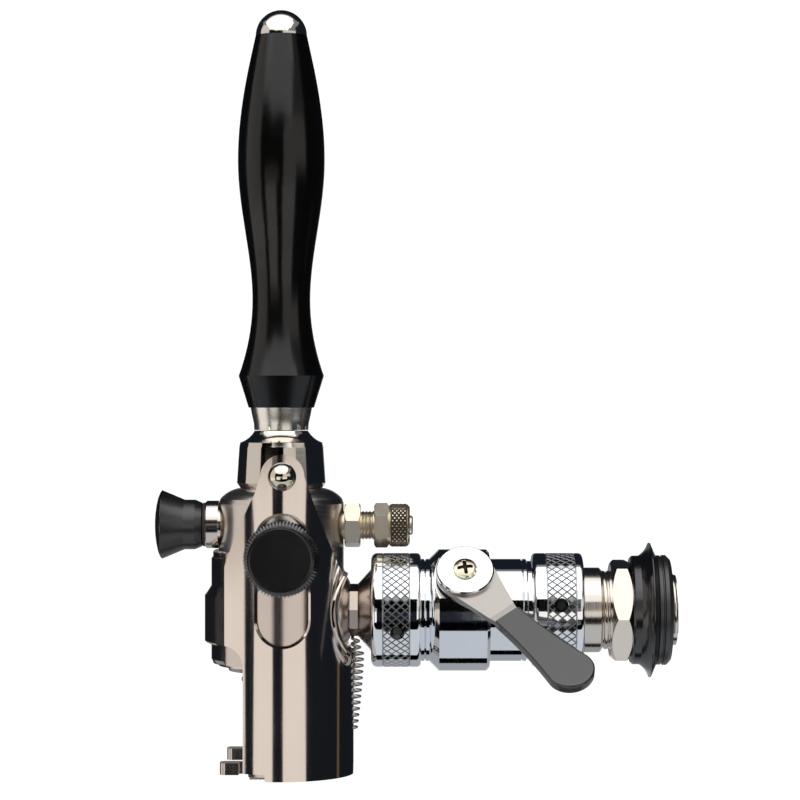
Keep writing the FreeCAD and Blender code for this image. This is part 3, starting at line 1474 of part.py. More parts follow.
parts = {
    "shank": shank(),
    "wall_washer": wall_washer(),
    "wall_flange": wall_flange(),
    "shank_lock_nut": shank_lock_nut(),
    "union_nut_rear": union_nut(rear_union_front, union_rear_length - seat_gap, union_edge,
                                rear_spanner_angle),
    "union_nut_front": union_nut(front_union_front, union_front_length - seat_gap,
                                 union_nose_edge, front_spanner_angle),
    "union_washer_rear": union_washer(rear_union_front),
    "union_washer_front": union_washer(front_union_front),
    "valve_body": valve_body(),
    "valve_seats": valve_seats(),
    "valve_ball": valve_ball(),
    "valve_stem": valve_stem(),
    "valve_stem_ring": valve_stem_ring(),
    "valve_sleeve": valve_sleeve(),
    "valve_lever": valve_lever(),
    "lever_grip": lever_grip(),
    "lever_cap": lever_cap(),
    "lever_screw": lever_screw(),
    "tail_piece": tail_piece(),
    "main_body": main_body(),
    "bonnet": bonnet(),
    "bonnet_gasket": bonnet_gasket(),
    "handle_lever": handle_lever(),
    "handle_ferrule": handle_ferrule(),
    "handle_grip": handle_grip(),
    "handle_tip": handle_tip(),
    "valve_spool": valve_spool(),
    "spool_rings": spool_rings(),
    "guard_shell": guard_shell(),
    "hinge_pin": hinge_pin(),
    "ear_spacers": both_sides(ear_spacer),
    "dome_nuts": both_sides(dome_nut),
    "carriage": carriage(),
    "neck_fork": neck_fork(),
    "jaw_pads": jaw_pads(),
    "clamp_knob": clamp_knob(),
    "clamp_stud": clamp_stud(),
    "clamp_washer": clamp_washer(),
    "return_spring": return_spring(),
    "spring_pin": spring_pin(),
    "seal_holder": seal_holder(),
    "bottle_seal": bottle_seal(),
    "fill_spout": fill_spout(),
    "gas_nipple": gas_nipple(),
    "gas_nut": gas_nut(),
    "gas_stub": gas_stub(),
    "bleed_bushing": bleed_bushing(),
    "bleed_gasket": bleed_gasket(),
    "bleed_needle": bleed_needle(),
    "bleed_ring": bleed_ring(),
    "bleed_knob": bleed_knob(),
}

os.makedirs("parts", exist_ok=True)
for name, shape in parts.items():
    box = shape.BoundBox
    print(name, len(shape.Solids), "valid" if shape.isValid() else "INVALID", round(shape.Volume, 1),
          [round(v, 1) for v in (box.XMin, box.XMax, box.YMin, box.YMax, box.ZMin, box.ZMax)])
    shape.exportStep(f"parts/{name}.step")
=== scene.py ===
"""Looks of a growler filler: a beer tap that fills a bottle pulled up under it by a spring.

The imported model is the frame. +X runs along the beer line into the wall, +Z is up and the
user stands at -X. The camera looks along +Y at the side with the clamp knob and valve lever.
"""

import math

import bmesh
import bpy
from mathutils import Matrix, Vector


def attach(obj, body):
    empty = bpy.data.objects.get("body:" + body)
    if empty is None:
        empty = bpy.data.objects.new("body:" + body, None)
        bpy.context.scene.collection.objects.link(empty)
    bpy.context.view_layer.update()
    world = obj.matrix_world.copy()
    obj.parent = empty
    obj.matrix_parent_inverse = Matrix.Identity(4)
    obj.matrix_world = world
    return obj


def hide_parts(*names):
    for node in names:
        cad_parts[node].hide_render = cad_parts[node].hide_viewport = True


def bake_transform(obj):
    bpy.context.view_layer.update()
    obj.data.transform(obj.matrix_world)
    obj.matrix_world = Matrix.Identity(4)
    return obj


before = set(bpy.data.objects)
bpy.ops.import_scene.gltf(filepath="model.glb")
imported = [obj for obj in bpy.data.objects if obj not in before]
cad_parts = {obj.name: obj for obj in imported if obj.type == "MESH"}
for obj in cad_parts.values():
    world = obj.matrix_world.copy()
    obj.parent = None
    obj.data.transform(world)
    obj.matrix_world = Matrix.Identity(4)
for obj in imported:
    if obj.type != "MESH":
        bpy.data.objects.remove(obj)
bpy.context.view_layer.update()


# The studio: a pale floor, a wide softbox overhead and tall white and black cards in front of
# the tap, which draw the long light and dark bands down its polished metal. The camera looks
# level, from the height of the handle's foot.

camera_place = (-0.0814, -0.817, 0.0635)
bpy.ops.object.camera_add(location=camera_place, rotation=(math.pi / 2, 0, 0))
camera = bpy.context.object
camera.data.lens = 121.5
camera.data.sensor_width = 36
camera.data.clip_start = 0.01
bpy.context.scene.camera = camera
bpy.context.scene.view_settings.view_transform = "Standard"

tap_axis = -0.1173


def plain_light(name, colour, strength):
    """Evenly glowing surface of a softbox or a white card."""
    material = bpy.data.materials.new(name)
    material.use_nodes = True
    nodes = material.node_tree.nodes
    nodes.clear()
    glow = nodes.new("ShaderNodeEmission")
    glow.inputs["Color"].default_value = (*colour, 1)
    glow.inputs["Strength"].default_value = strength
    out = nodes.new("ShaderNodeOutputMaterial")
    material.node_tree.links.new(glow.outputs[0], out.inputs["Surface"])
    return material


def hidden_card(name, material, middle, rotation, half_size, lights):
    """Card that shows only in reflections, and that also gives light if it lights."""
    bpy.ops.mesh.primitive_plane_add(size=2, location=middle, rotation=rotation)
    piece = bpy.context.object
    piece.name = name
    piece.scale = (*half_size, 1)
    piece.data.materials.append(material)
    piece.visible_camera = False
    piece.visible_shadow = False
    piece.visible_diffuse = lights


def upright_card(name, material, azimuth, elevation, distance=1.2, lights=True):
    """Card that stands round the tap, between two azimuths and two elevations in degrees.

    Azimuth 0 is towards the camera and 90 is towards the wall.
    """
    turn = math.radians(sum(azimuth) / 2)
    low, high = (distance * math.tan(math.radians(angle)) for angle in elevation)
    half_width = distance * math.tan(math.radians(azimuth[1] - azimuth[0]) / 2)
    middle = (tap_axis + distance * math.sin(turn), -distance * math.cos(turn),
              (low + high) / 2)
    hidden_card(name, material, middle, (math.pi / 2, 0, turn), (half_width, (high - low) / 2),
                lights)


white = plain_light("softbox_white", (1.0, 1.0, 1.0), 1.2)
bright = plain_light("softbox_core", (1.0, 1.0, 1.0), 1.6)
warm = plain_light("card_warm", (1.0, 0.96, 0.92), 0.95)
beige = plain_light("card_beige", (1.0, 0.95, 0.89), 0.68)
shade = plain_light("card_shade", (1.0, 0.93, 0.86), 0.32)
grey = plain_light("card_grey", (0.92, 0.97, 1.03), 0.60)
dim = plain_light("card_dim", (0.92, 0.97, 1.03), 0.38)
navy = plain_light("card_navy", (0.65, 0.85, 1.25), 0.014)
black = plain_light("card_black", (1.0, 1.0, 1.0), 0.0008)
gold = plain_light("card_gold", (1.0, 0.75, 0.4), 0.16)

upright_card("left_card", warm, (-103, -55), (-22, -3))
upright_card("left_upper_card", beige, (-103, -55), (-3, 40))
upright_card("left_inner_card", warm, (-42, -11.5), (-22, 0.9))
upright_card("right_inner_card", warm, (5, 41), (-13.5, 0.9))
upright_card("right_upper_card", beige, (8, 42), (0.9, 8.5))
upright_card("right_wide_card", beige, (9, 70), (8.5, 24))
upright_card("middle_flag", black, (-4, 8), (0.9, 28), 1.25, False)
upright_card("middle_shade", shade, (-42, -4), (0.9, 7), 1.25, False)
upright_card("left_upper_flag", black, (-55, -4), (7, 28), 1.26, False)
upright_card("middle_strip", navy, (-11, 5), (-26, 0.9), 1.25, False)
upright_card("left_gap", navy, (-55, -42), (-26, 7), 1.25, False)
upright_card("right_flag", navy, (41, 100), (-30, 4), 1.25, False)
upright_card("right_line", gold, (101, 105), (-30, 0), 1.2, False)
upright_card("right_back_flag", navy, (72, 160), (-30, 40), 1.35, False)
upright_card("left_back_flag", navy, (-165, -103), (-30, 40), 1.35, False)

for name, material, middle, tilt, half_size, lights in (
        ("overhead_softbox", white, (-0.35, -0.47, 0.9), 25, (0.95, 0.78), True),
        ("overhead_core", bright, (-0.1, -0.38, 0.86), 25, (0.75, 0.36), False),
        ("top_back_flag", navy, (-0.12, 0.95, 0.85), -48, (1.1, 0.75), False)):
    hidden_card(name, material, middle, (math.radians(tilt), 0, 0), half_size, lights)

under_height = -0.44
under_half_width = 1.3
for name, material, near_y, far_y in (
        ("front_dark_strip", black, -1.6, -0.62),
        ("front_grey_card", grey, -0.62, 0.062),
        ("under_dark_strip", black, 0.062, 0.21),
        ("back_dim_card", dim, 0.21, 1.3)):
    hidden_card(name, material, (tap_axis, (near_y + far_y) / 2, under_height), (0, 0, 0),
                (under_half_width, (far_y - near_y) / 2), False)

floor_height = -0.45
floor_radius = 2.5
bpy.ops.mesh.primitive_circle_add(vertices=96, radius=floor_radius, fill_type="NGON",
                                  location=(tap_axis, 0, floor_height))
floor = bpy.context.object
floor.name = "floor"
floor_paint = bpy.data.materials.new("pale_floor")
floor_paint.use_nodes = True
paint = floor_paint.node_tree.nodes["Principled BSDF"]
paint.inputs["Base Color"].default_value = (0.86, 0.86, 0.85, 1)
paint.inputs["Roughness"].default_value = 0.9
paint.inputs["Specular IOR Level"].default_value = 0.1
paint.inputs["Emission Color"].default_value = (1, 1, 1, 1)
paint.inputs["Emission Strength"].default_value = 0.45
floor.data.materials.append(floor_paint)

world = bpy.data.worlds.new("studio_air")
bpy.context.scene.world = world
world.use_nodes = True
air = world.node_tree
air.nodes.clear()
seen = air.nodes.new("ShaderNodeBackground")
seen.inputs["Color"].default_value = (1, 1, 1, 1)
seen.inputs["Strength"].default_value = 1.05
felt = air.nodes.new("ShaderNodeBackground")
felt.inputs["Color"].default_value = (0.95, 0.97, 1, 1)
felt.inputs["Strength"].default_value = 0.22
ray = air.nodes.new("ShaderNodeLightPath")
blend = air.nodes.new("ShaderNodeMixShader")
air_out = air.nodes.new("ShaderNodeOutputWorld")
air.links.new(ray.outputs["Is Camera Ray"], blend.inputs["Fac"])
air.links.new(felt.outputs[0], blend.inputs[1])
air.links.new(seen.outputs[0], blend.inputs[2])
air.links.new(blend.outputs[0], air_out.inputs["Surface"])


# The tap body: a stainless steel cylinder turned and polished, with a boss for the beer line
# at the back, under a screwed bonnet that has been polished to a mirror.

def worked_surface():
    """Node group for the fine lines and soft smears that work and hands leave on a surface."""
    group = bpy.data.node_groups.new("worked_surface", "ShaderNodeTree")
    for name, kind in (("Lines", "NodeSocketVector"), ("Smears", "NodeSocketFloat")):
        group.interface.new_socket(name, in_out="INPUT", socket_type=kind)
    for name in ("Line", "Smear"):
        group.interface.new_socket(name, in_out="OUTPUT", socket_type="NodeSocketFloat")
    nodes, links = group.nodes, group.links
    inside = nodes.new("NodeGroupInput")
    outside = nodes.new("NodeGroupOutput")
    place = nodes.new("ShaderNodeTexCoord")
    stretch = nodes.new("ShaderNodeMapping")
    fine = nodes.new("ShaderNodeTexNoise")
    fine.inputs["Scale"].default_value = 1.0
    fine.inputs["Detail"].default_value = 3
    wide = nodes.new("ShaderNodeTexNoise")
    wide.inputs["Detail"].default_value = 4
    wide.inputs["Distortion"].default_value = 0.6
    links.new(place.outputs["Object"], stretch.inputs["Vector"])
    links.new(inside.outputs["Lines"], stretch.inputs["Scale"])
    links.new(stretch.outputs["Vector"], fine.inputs["Vector"])
    links.new(place.outputs["Object"], wide.inputs["Vector"])
    links.new(inside.outputs["Smears"], wide.inputs["Scale"])
    links.new(fine.outputs["Fac"], outside.inputs["Line"])
    links.new(wide.outputs["Fac"], outside.inputs["Smear"])
    return group


surface_marks = worked_surface()


def finish(name, dark, light, roughness, metallic=0.0, lines=(900, 900, 900), smears=60.0,
           relief=0.00002, coat=0.0, specular=0.5):
    """Material whose colour, roughness and relief follow its work lines and smears.

    The roughness goes from its first value to its second as the marks grow stronger.
    """
    material = bpy.data.materials.new(name)
    material.use_nodes = True
    nodes, links = material.node_tree.nodes, material.node_tree.links
    skin = nodes["Principled BSDF"]
    skin.inputs["Metallic"].default_value = metallic
    skin.inputs["Specular IOR Level"].default_value = specular
    skin.inputs["Coat Weight"].default_value = coat
    skin.inputs["Coat Roughness"].default_value = 0.05
    marks = nodes.new("ShaderNodeGroup")
    marks.node_tree = surface_marks
    marks.inputs["Lines"].default_value = lines
    marks.inputs["Smears"].default_value = smears
    tint = nodes.new("ShaderNodeMix")
    tint.data_type = "RGBA"
    tint.inputs["A"].default_value = (*dark, 1)
    tint.inputs["B"].default_value = (*light, 1)
    links.new(marks.outputs["Smear"], tint.inputs["Factor"])
    links.new(tint.outputs["Result"], skin.inputs["Base Color"])
    sheen = nodes.new("ShaderNodeMapRange")
    sheen.inputs["From Min"].default_value = 0.3
    sheen.inputs["From Max"].default_value = 0.7
    sheen.inputs["To Min"].default_value = roughness[0]
    sheen.inputs["To Max"].default_value = roughness[1]
    smear_share = 0.5
    both = nodes.new("ShaderNodeMath")
    both.operation = "MULTIPLY_ADD"
    both.inputs[1].default_value = 1 - smear_share
    half = nodes.new("ShaderNodeMath")
    half.operation = "MULTIPLY"
    half.inputs[1].default_value = smear_share
    links.new(marks.outputs["Smear"], half.inputs[0])
    links.new(marks.outputs["Line"], both.inputs[0])
    links.new(half.outputs[0], both.inputs[2])
    links.new(both.outputs[0], sheen.inputs["Value"])
    links.new(sheen.outputs["Result"], skin.inputs["Roughness"])
    bump = nodes.new("ShaderNodeBump")
    bump.inputs["Strength"].default_value = 0.5
    bump.inputs["Distance"].default_value = relief
    links.new(marks.outputs["Line"], bump.inputs["Height"])
    links.new(bump.outputs["Normal"], skin.inputs["Normal"])
    return material


def dress(material, *nodes):
    """Give CAD nodes their finish, in every slot that they have."""
    for node in nodes:
        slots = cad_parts[node].data.materials
        for i in range(max(1, len(slots))):
            if i < len(slots):
                slots[i] = material
            else:
                slots.append(material)


upright_lines = (1800, 1800, 12)
turned_upright = (14, 14, 2600)
turned_along = (2600, 14, 14)

body_steel = finish("turned_body_steel", (0.66, 0.60, 0.55), (0.76, 0.70, 0.65), (0.17, 0.28),
                    1.0, turned_upright, 45)
bonnet_steel = finish("mirror_bonnet_steel", (0.74, 0.68, 0.61), (0.82, 0.77, 0.70),
                      (0.04, 0.10), 1.0, turned_upright, 40, 0.000005)
dress(body_steel, "main_body")
dress(bonnet_steel, "bonnet")


# The handle: black polished plastic turned to fit the hand, with a polished dome on top and
# a bright cone at its foot. It screws on the lever that works the valve.

handle_gloss = finish("black_handle_gloss", (0.0012, 0.0012, 0.0013), (0.003, 0.0028, 0.0026),
                      (0.13, 0.20), 0.0, (300, 300, 300), 30, 0.000004, 0.0, 0.5)
handle_chrome = finish("handle_chrome", (0.80, 0.77, 0.72), (0.88, 0.86, 0.82), (0.06, 0.12),
                       1.0, turned_upright, 60, 0.000004)
inner_steel = finish("turned_inner_steel", (0.60, 0.59, 0.57), (0.70, 0.69, 0.67), (0.22, 0.34),
                     1.0, turned_upright, 70)
ferrule_steel = finish("satin_ferrule_steel", (0.84, 0.79, 0.72), (0.93, 0.88, 0.81),
                       (0.20, 0.30), 1.0, turned_upright, 60, 0.000008)
dress(handle_gloss, "handle_grip")


def merged_copy(name, node):
    """Copy of a CAD node's mesh, with its loose triangles joined and no finish yet."""
    bpy.ops.object.select_all(action="DESELECT")
    piece = bpy.data.objects.new(name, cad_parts[node].data.copy())
    bpy.context.collection.objects.link(piece)
    piece.select_set(True)
    bpy.context.view_layer.objects.active = piece
    bpy.ops.object.mode_set(mode="EDIT")
    bpy.ops.mesh.select_all(action="SELECT")
    bpy.ops.mesh.remove_doubles(threshold=0.000002)
    bpy.ops.object.mode_set(mode="OBJECT")
    piece.data.materials.clear()
    return piece


ferrule = merged_copy("foot_ferrule", "handle_ferrule")
ferrule.data.materials.append(ferrule_steel)
foot_reach = 0.00036
foot_radius = 0.0082
top_rise = 0.0003
rim_band = 0.0003
ferrule_low = min(point.co.z for point in ferrule.data.vertices)
ferrule_high = max(point.co.z for point in ferrule.data.vertices)
for point in ferrule.data.vertices:
    if point.co.z > ferrule_high - rim_band:
        point.co.z += top_rise
    elif point.co.z < ferrule_low + rim_band:
        spread = foot_radius / math.hypot(point.co.x - tap_axis, point.co.y)
        point.co.x = tap_axis + (point.co.x - tap_axis) * spread
        point.co.y *= spread
        point.co.z -= foot_reach
bpy.ops.object.shade_smooth_by_angle(angle=math.radians(35))
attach(ferrule, "tap_handle")
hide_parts("handle_ferrule")
dress(handle_chrome, "handle_tip")
dress(inner_steel, "handle_lever", "valve_spool")


# The guard: one sheet of polished stainless steel, formed round the tap. Its two ears hang on
# the hinge pin, and dome nuts close the pin's ends.

guard_steel = finish("polished_guard_steel", (0.70, 0.62, 0.55), (0.80, 0.72, 0.65),
                     (0.06, 0.13), 1.0, upright_lines, 35, 0.000006)
pin_steel = finish("polished_pin_metal", (0.78, 0.70, 0.55), (0.90, 0.84, 0.72), (0.05, 0.10),
                   1.0, (600, 600, 600), 80, 0.000004)
dress(guard_steel, "guard_shell")
dress(pin_steel, "dome_nuts", "hinge_pin", "ear_spacers")


# The carriage: a machined steel sleeve that slides on the body. It carries the fork for the
# bottle's neck ring and the ribbed pads under it.

carriage_steel = finish("satin_carriage_steel", (0.58, 0.50, 0.45), (0.66, 0.58, 0.53),
                        (0.12, 0.20), 1.0, upright_lines, 30, 0.000006)
pad_steel = finish("ribbed_pad_steel", (0.52, 0.50, 0.47), (0.66, 0.63, 0.59), (0.42, 0.56),
                   1.0, (700, 700, 700), 80)
dress(carriage_steel, "carriage", "neck_fork", "spring_pin")
dress(pad_steel, "jaw_pads")


# The clamp knob: moulded black plastic with fine teeth round its edge, on a steel stud. It
# presses the carriage against the guard and so holds it at a height.

def turned(name, base, axis, profile, steps):
    """Solid turned round an axis, from the (radius, height) points of its outline in mm."""
    bpy.ops.object.select_all(action="DESELECT")
    base = Vector(base)
    axis = Vector(axis)
    side = axis.orthogonal().normalized()
    points = [(base + axis * height + side * radius) / 1000 for radius, height in profile]
    bpy.ops.mesh.primitive_plane_add(size=0.001)
    piece = bpy.context.object
    piece.name = name
    bpy.ops.object.mode_set(mode="EDIT")
    bpy.ops.mesh.select_mode(type="VERT")
    bpy.ops.mesh.select_all(action="SELECT")
    bpy.ops.mesh.merge(type="CENTER")
    bpy.ops.transform.translate(value=points[0])
    for here, there in zip(points, points[1:]):
        bpy.ops.mesh.extrude_region_move(TRANSFORM_OT_translate={"value": there - here})
    bpy.ops.mesh.select_all(action="SELECT")
    bpy.ops.mesh.spin(steps=steps, angle=2 * math.pi, center=base / 1000, axis=axis)
    bpy.ops.mesh.select_all(action="SELECT")
    bpy.ops.mesh.remove_doubles(threshold=0.000002)
    bpy.ops.mesh.normals_make_consistent(inside=False)
    bpy.ops.mesh.select_all(action="DESELECT")
    bpy.ops.object.mode_set(mode="OBJECT")
    return piece


def pick_faces(piece, wanted):
    """Open a piece for editing with the faces selected whose centre, in mm, is wanted."""
    bpy.ops.object.mode_set(mode="EDIT")
    bpy.ops.mesh.select_mode(type="FACE")
    bpy.ops.mesh.select_all(action="DESELECT")
    skin = bmesh.from_edit_mesh(piece.data)
    for face in skin.faces:
        face.select = wanted(face.calc_center_median() * 1000)
    bmesh.update_edit_mesh(piece.data)


def close_up(angle=30):
    """Leave edit mode and shade the piece smooth, up to an angle between its faces."""
    bpy.ops.mesh.select_all(action="DESELECT")
    bpy.ops.object.mode_set(mode="OBJECT")
    bpy.ops.object.shade_smooth_by_angle(angle=math.radians(angle))


def cut_teeth(piece, centre, axis, count, low, high, depth, least_radius=9.5):
    """Press in every other face of the rim between two heights on the axis, in mm.

    That leaves count teeth in the piece's second material. The depth is in metres.
    """
    centre = Vector(centre)
    axis = Vector(axis)
    side = axis.orthogonal().normalized()
    across = axis.cross(side)

    def on_rim(place):
        out = place - centre
        height = out.dot(axis)
        return low < height < high and (out - axis * height).length > least_radius

    def gap(place):
        out = place - centre
        turn = math.atan2(out.dot(across), out.dot(side)) / (2 * math.pi)
        return on_rim(place) and math.floor(turn * 2 * count) % 2 == 0

    for face in piece.data.polygons:
        place = face.center * 1000
        if on_rim(place) and not gap(place):
            face.material_index = 1
    pick_faces(piece, gap)
    bpy.ops.mesh.extrude_region_shrink_fatten(TRANSFORM_OT_shrink_fatten={"value": -depth})
    close_up()


knob_place = (-116.1, -23.1, 16.9)
knob_axis = (0, -1, 0)
knob_teeth = 68
teeth_low = 0.9
teeth_high = 8.1
tooth_depth = 0.0006
knob_outline = [(0, 0), (10.5, 0), (11.0, 0.3), (11.1, teeth_low), (11.1, 7.2),
                (9.85, teeth_high), (9.7, 8.3), (9.75, 10.9), (9.65, 11.4), (9.4, 11.75),
                (9.05, 11.9), (8.7, 11.9), (0, 11.9)]
knob = turned("clamp_knob_cap", knob_place, knob_axis, knob_outline, 2 * knob_teeth)
cut_teeth(knob, knob_place, knob_axis, knob_teeth, teeth_low, teeth_high, tooth_depth)
knob_black = finish("satin_black_knob", (0.003, 0.003, 0.0035), (0.008, 0.0085, 0.0095),
                    (0.18, 0.26), 0.0, (1400, 1400, 1400), 60, 0.000006, 0.0, 0.6)
tooth_black = finish("worn_black_teeth", (0.004, 0.004, 0.0045), (0.010, 0.010, 0.011),
                     (0.08, 0.14), 0.0, (1400, 1400, 1400), 60, 0.000004, 1.0, 1.0)
stud_steel = finish("turned_stud_steel", (0.60, 0.58, 0.55), (0.70, 0.69, 0.66), (0.2, 0.3),
                    1.0, (60, 3000, 60), 90)
knob.data.materials.append(knob_black)
knob.data.materials.append(tooth_black)
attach(knob, "clamp_knob")
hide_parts("clamp_knob")
dress(stud_steel, "clamp_stud")
dress(knob_black, "clamp_washer")


# The return spring: drawn steel wire wound in close coils. Its straight top end hangs in the
# tail piece behind the guard, and the hook at its foot goes round the carriage's pin.

wire_radius = 0.0005
wire_sides = 10
coil_radius = 0.00175
coil_turns = 15
coil_steps = 26
coil_top = -0.0085
coil_foot = -0.0364
coil_top_x = -0.0941
coil_foot_x = -0.0964
narrow_turns = 2.6
narrow_share = 0.45
coil_bow = 0.0003
end_zone = 0.002
bpy.ops.object.select_all(action="DESELECT")
bpy.ops.mesh.primitive_circle_add(vertices=wire_sides, radius=wire_radius,
                                  location=(-coil_radius, 0, 0), rotation=(math.pi / 2, 0, 0))
spring = bpy.context.object
spring.name = "coiled_spring"
bpy.ops.object.transform_apply(location=True, rotation=True, scale=True)
coils = spring.modifiers.new("coils", "SCREW")
coils.axis = "Z"
coils.angle = 2 * math.pi * coil_turns
coils.screw_offset = coil_foot - coil_top
coils.steps = coil_steps * coil_turns
coils.render_steps = coil_steps * coil_turns
coils.use_merge_vertices = False
bpy.ops.object.modifier_apply(modifier="coils")
for number, point in enumerate(spring.data.vertices):
    turn = (number // wire_sides) / coil_steps
    down = turn / coil_turns
    narrow = narrow_share * (1 - min(1, turn / narrow_turns) ** 2)
    angle = 2 * math.pi * turn
    point.co.x += coil_radius * narrow * (math.cos(angle) - 1)
    point.co.y += coil_radius * narrow * math.sin(angle)
    point.co.x += coil_top_x + down * (coil_foot_x - coil_top_x) + coil_bow * math.sin(
        math.pi * down)
    point.co.z += coil_top


def pull_wire_end(height, moves):
    """Draw on the wire's open end at a height through the given moves, and close it."""
    bpy.ops.object.mode_set(mode="EDIT")
    bpy.ops.mesh.select_mode(type="VERT")
    bpy.ops.mesh.select_all(action="DESELECT")
    bpy.ops.mesh.select_non_manifold(extend=False)
    skin = bmesh.from_edit_mesh(spring.data)
    for point in skin.verts:
        if abs(point.co.z - height) > end_zone:
            point.select = False
    skin.select_flush_mode()
    bmesh.update_edit_mesh(spring.data)
    for move in moves:
        bpy.ops.mesh.extrude_region_move(TRANSFORM_OT_translate={"value": move})
    bpy.ops.mesh.edge_face_add()
    bpy.ops.object.mode_set(mode="OBJECT")


pull_wire_end(coil_top, [(0.0001, 0.0003, 0.0004), (0.0001, 0.0002, 0.0006), (0, 0, 0.0019)])
spring_steel = finish("drawn_spring_wire", (0.66, 0.64, 0.61), (0.80, 0.78, 0.75), (0.02, 0.06),
                      1.0, (1500, 1500, 1500), 120)

hook_height = -0.0392
hook_radius = 0.0014
pull_wire_end(coil_foot, [(0, -0.0002, -0.0003), (0, -0.0001, -0.0008)])
bpy.ops.mesh.primitive_torus_add(location=(coil_foot_x - coil_radius, 0, hook_height),
                                 rotation=(math.pi / 2, 0, 0), major_radius=hook_radius,
                                 minor_radius=wire_radius, major_segments=28,
                                 minor_segments=wire_sides)
hook = bpy.context.object
bpy.ops.object.select_all(action="DESELECT")
hook.select_set(True)
spring.select_set(True)
bpy.context.view_layer.objects.active = spring
bpy.ops.object.join()
bpy.ops.object.mode_set(mode="EDIT")
bpy.ops.mesh.select_all(action="SELECT")
bpy.ops.mesh.normals_make_consistent(inside=False)
close_up(60)
spring.data.materials.append(spring_steel)
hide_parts("return_spring")
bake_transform(spring)


# The bottle seal and spout: a steel flange in the body's foot, a black rubber plug and a
# filling tube with an umbrella end.

seal_rubber = finish("black_seal_rubber", (0.012, 0.012, 0.012), (0.03, 0.03, 0.03),
                     (0.5, 0.65), 0.0, (900, 900, 900), 70, 0.00003, 0.0, 0.4)
dress(inner_steel, "seal_holder", "fill_spout")
dress(seal_rubber, "bottle_seal", "bonnet_gasket", "spool_rings", "bleed_ring",
      "union_washer_rear", "union_washer_front", "valve_stem_ring")


# The gas fitting: a nickelled brass nipple screwed into the back of the body, the hose nut with
# its knurled sleeve, and the stub that the hose goes on. It brings the counter pressure.

gas_brass = finish("nickelled_brass", (0.78, 0.70, 0.56), (0.90, 0.83, 0.70), (0.26, 0.38),
                   1.0, (800, 800, 800), 90, 0.00001)
dress(gas_brass, "gas_nipple", "gas_nut", "gas_stub")


def knurl(piece, low, high, least_radius, axis_height, border, rise):
    """Turn the band of four-sided faces between two X places into raised diamonds.

    The walls of the grooves between them get the piece's second material, which is darker to
    paint shade into the grooves. Places and radii are in mm, and the border and rise of a
    diamond are in metres.
    """

    def on_band(place):
        return (low < place.x < high
                and math.hypot(place.y, place.z - axis_height) > least_radius)

    pick_faces(piece, on_band)
    skin = bmesh.from_edit_mesh(piece.data)
    corners = {point.index for face in skin.faces if face.select for point in face.verts}
    bpy.ops.mesh.poke()
    skin = bmesh.from_edit_mesh(piece.data)
    skin.edges.ensure_lookup_table()
    for edge in skin.edges:
        both = len(edge.link_faces) == 2 and all(face.select for face in edge.link_faces)
        edge.tag = both and all(point.index in corners for point in edge.verts)
    bpy.ops.mesh.select_mode(type="EDGE")
    for edge in skin.edges:
        edge.select = edge.tag
    bmesh.update_edit_mesh(piece.data)
    bpy.ops.mesh.dissolve_edges(use_verts=False)
    bpy.ops.mesh.select_mode(type="FACE")
    bpy.ops.mesh.select_all(action="DESELECT")
    skin = bmesh.from_edit_mesh(piece.data)
    for face in skin.faces:
        face.select = on_band(face.calc_center_median() * 1000)
    bmesh.update_edit_mesh(piece.data)
    bpy.ops.mesh.inset(thickness=border, depth=rise, use_individual=True)
    # The groove walls left on the band take the darker second material: painted shade.
    skin = bmesh.from_edit_mesh(piece.data)
    for face in skin.faces:
        if not face.select and on_band(face.calc_center_median() * 1000):
            face.material_index = 1
    bmesh.update_edit_mesh(piece.data)
    close_up()


sleeve_start = -84.5
sleeve_length = 5.5
sleeve_rows = 4
sleeve_bore = 6.0
sleeve_radius = 6.2
sleeve_margin = 0.3
gas_height = 25.6
band = [(sleeve_radius,
         sleeve_margin + i * (sleeve_length - 2 * sleeve_margin) / sleeve_rows)
        for i in range(sleeve_rows + 1)]
sleeve = turned("gas_nut_knurl", (sleeve_start, 0, gas_height), (1, 0, 0),
                [(sleeve_bore, 0), (6.25, 0), (6.35, 0.2), *band, (6.35, sleeve_length - 0.2),
                 (6.25, sleeve_length), (sleeve_bore, sleeve_length), (sleeve_bore, 0)], 24)
# Darker brass for the knurl's groove walls: shade painted into the grooves, and a rougher cut.
groove_shade_brass = finish("rough_groove_brass_painted_shade", (0.16, 0.13, 0.09), (0.26, 0.22, 0.16), (0.3, 0.45),
                      1.0, (900, 900, 900), 90, 0.00001)
sleeve.data.materials.append(gas_brass)
sleeve.data.materials.append(groove_shade_brass)
diamond_border = 0.0003
diamond_rise = 0.0003
knurl(sleeve, sleeve_start + sleeve_margin, sleeve_start + sleeve_length - sleeve_margin,
      sleeve_bore, gas_height, diamond_border, diamond_rise)
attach(sleeve, "gas_nut")


# The bleed valve: a turned steel bushing, screwed into the front of the body on a red fibre
# gasket, and a steel needle with a trumpet-shaped black plastic knob to turn it by.

bleed_steel = finish("turned_bleed_steel", (0.72, 0.66, 0.60), (0.84, 0.79, 0.73), (0.10, 0.18),
                     1.0, turned_along, 80)
gasket_red = finish("red_fibre_gasket", (0.018, 0.005, 0.004), (0.045, 0.014, 0.010),
                    (0.6, 0.8), 0.0, (1500, 1500, 1500), 120, 0.00004)
dress(bleed_steel, "bleed_bushing", "bleed_needle")
dress(gasket_red, "bleed_gasket")

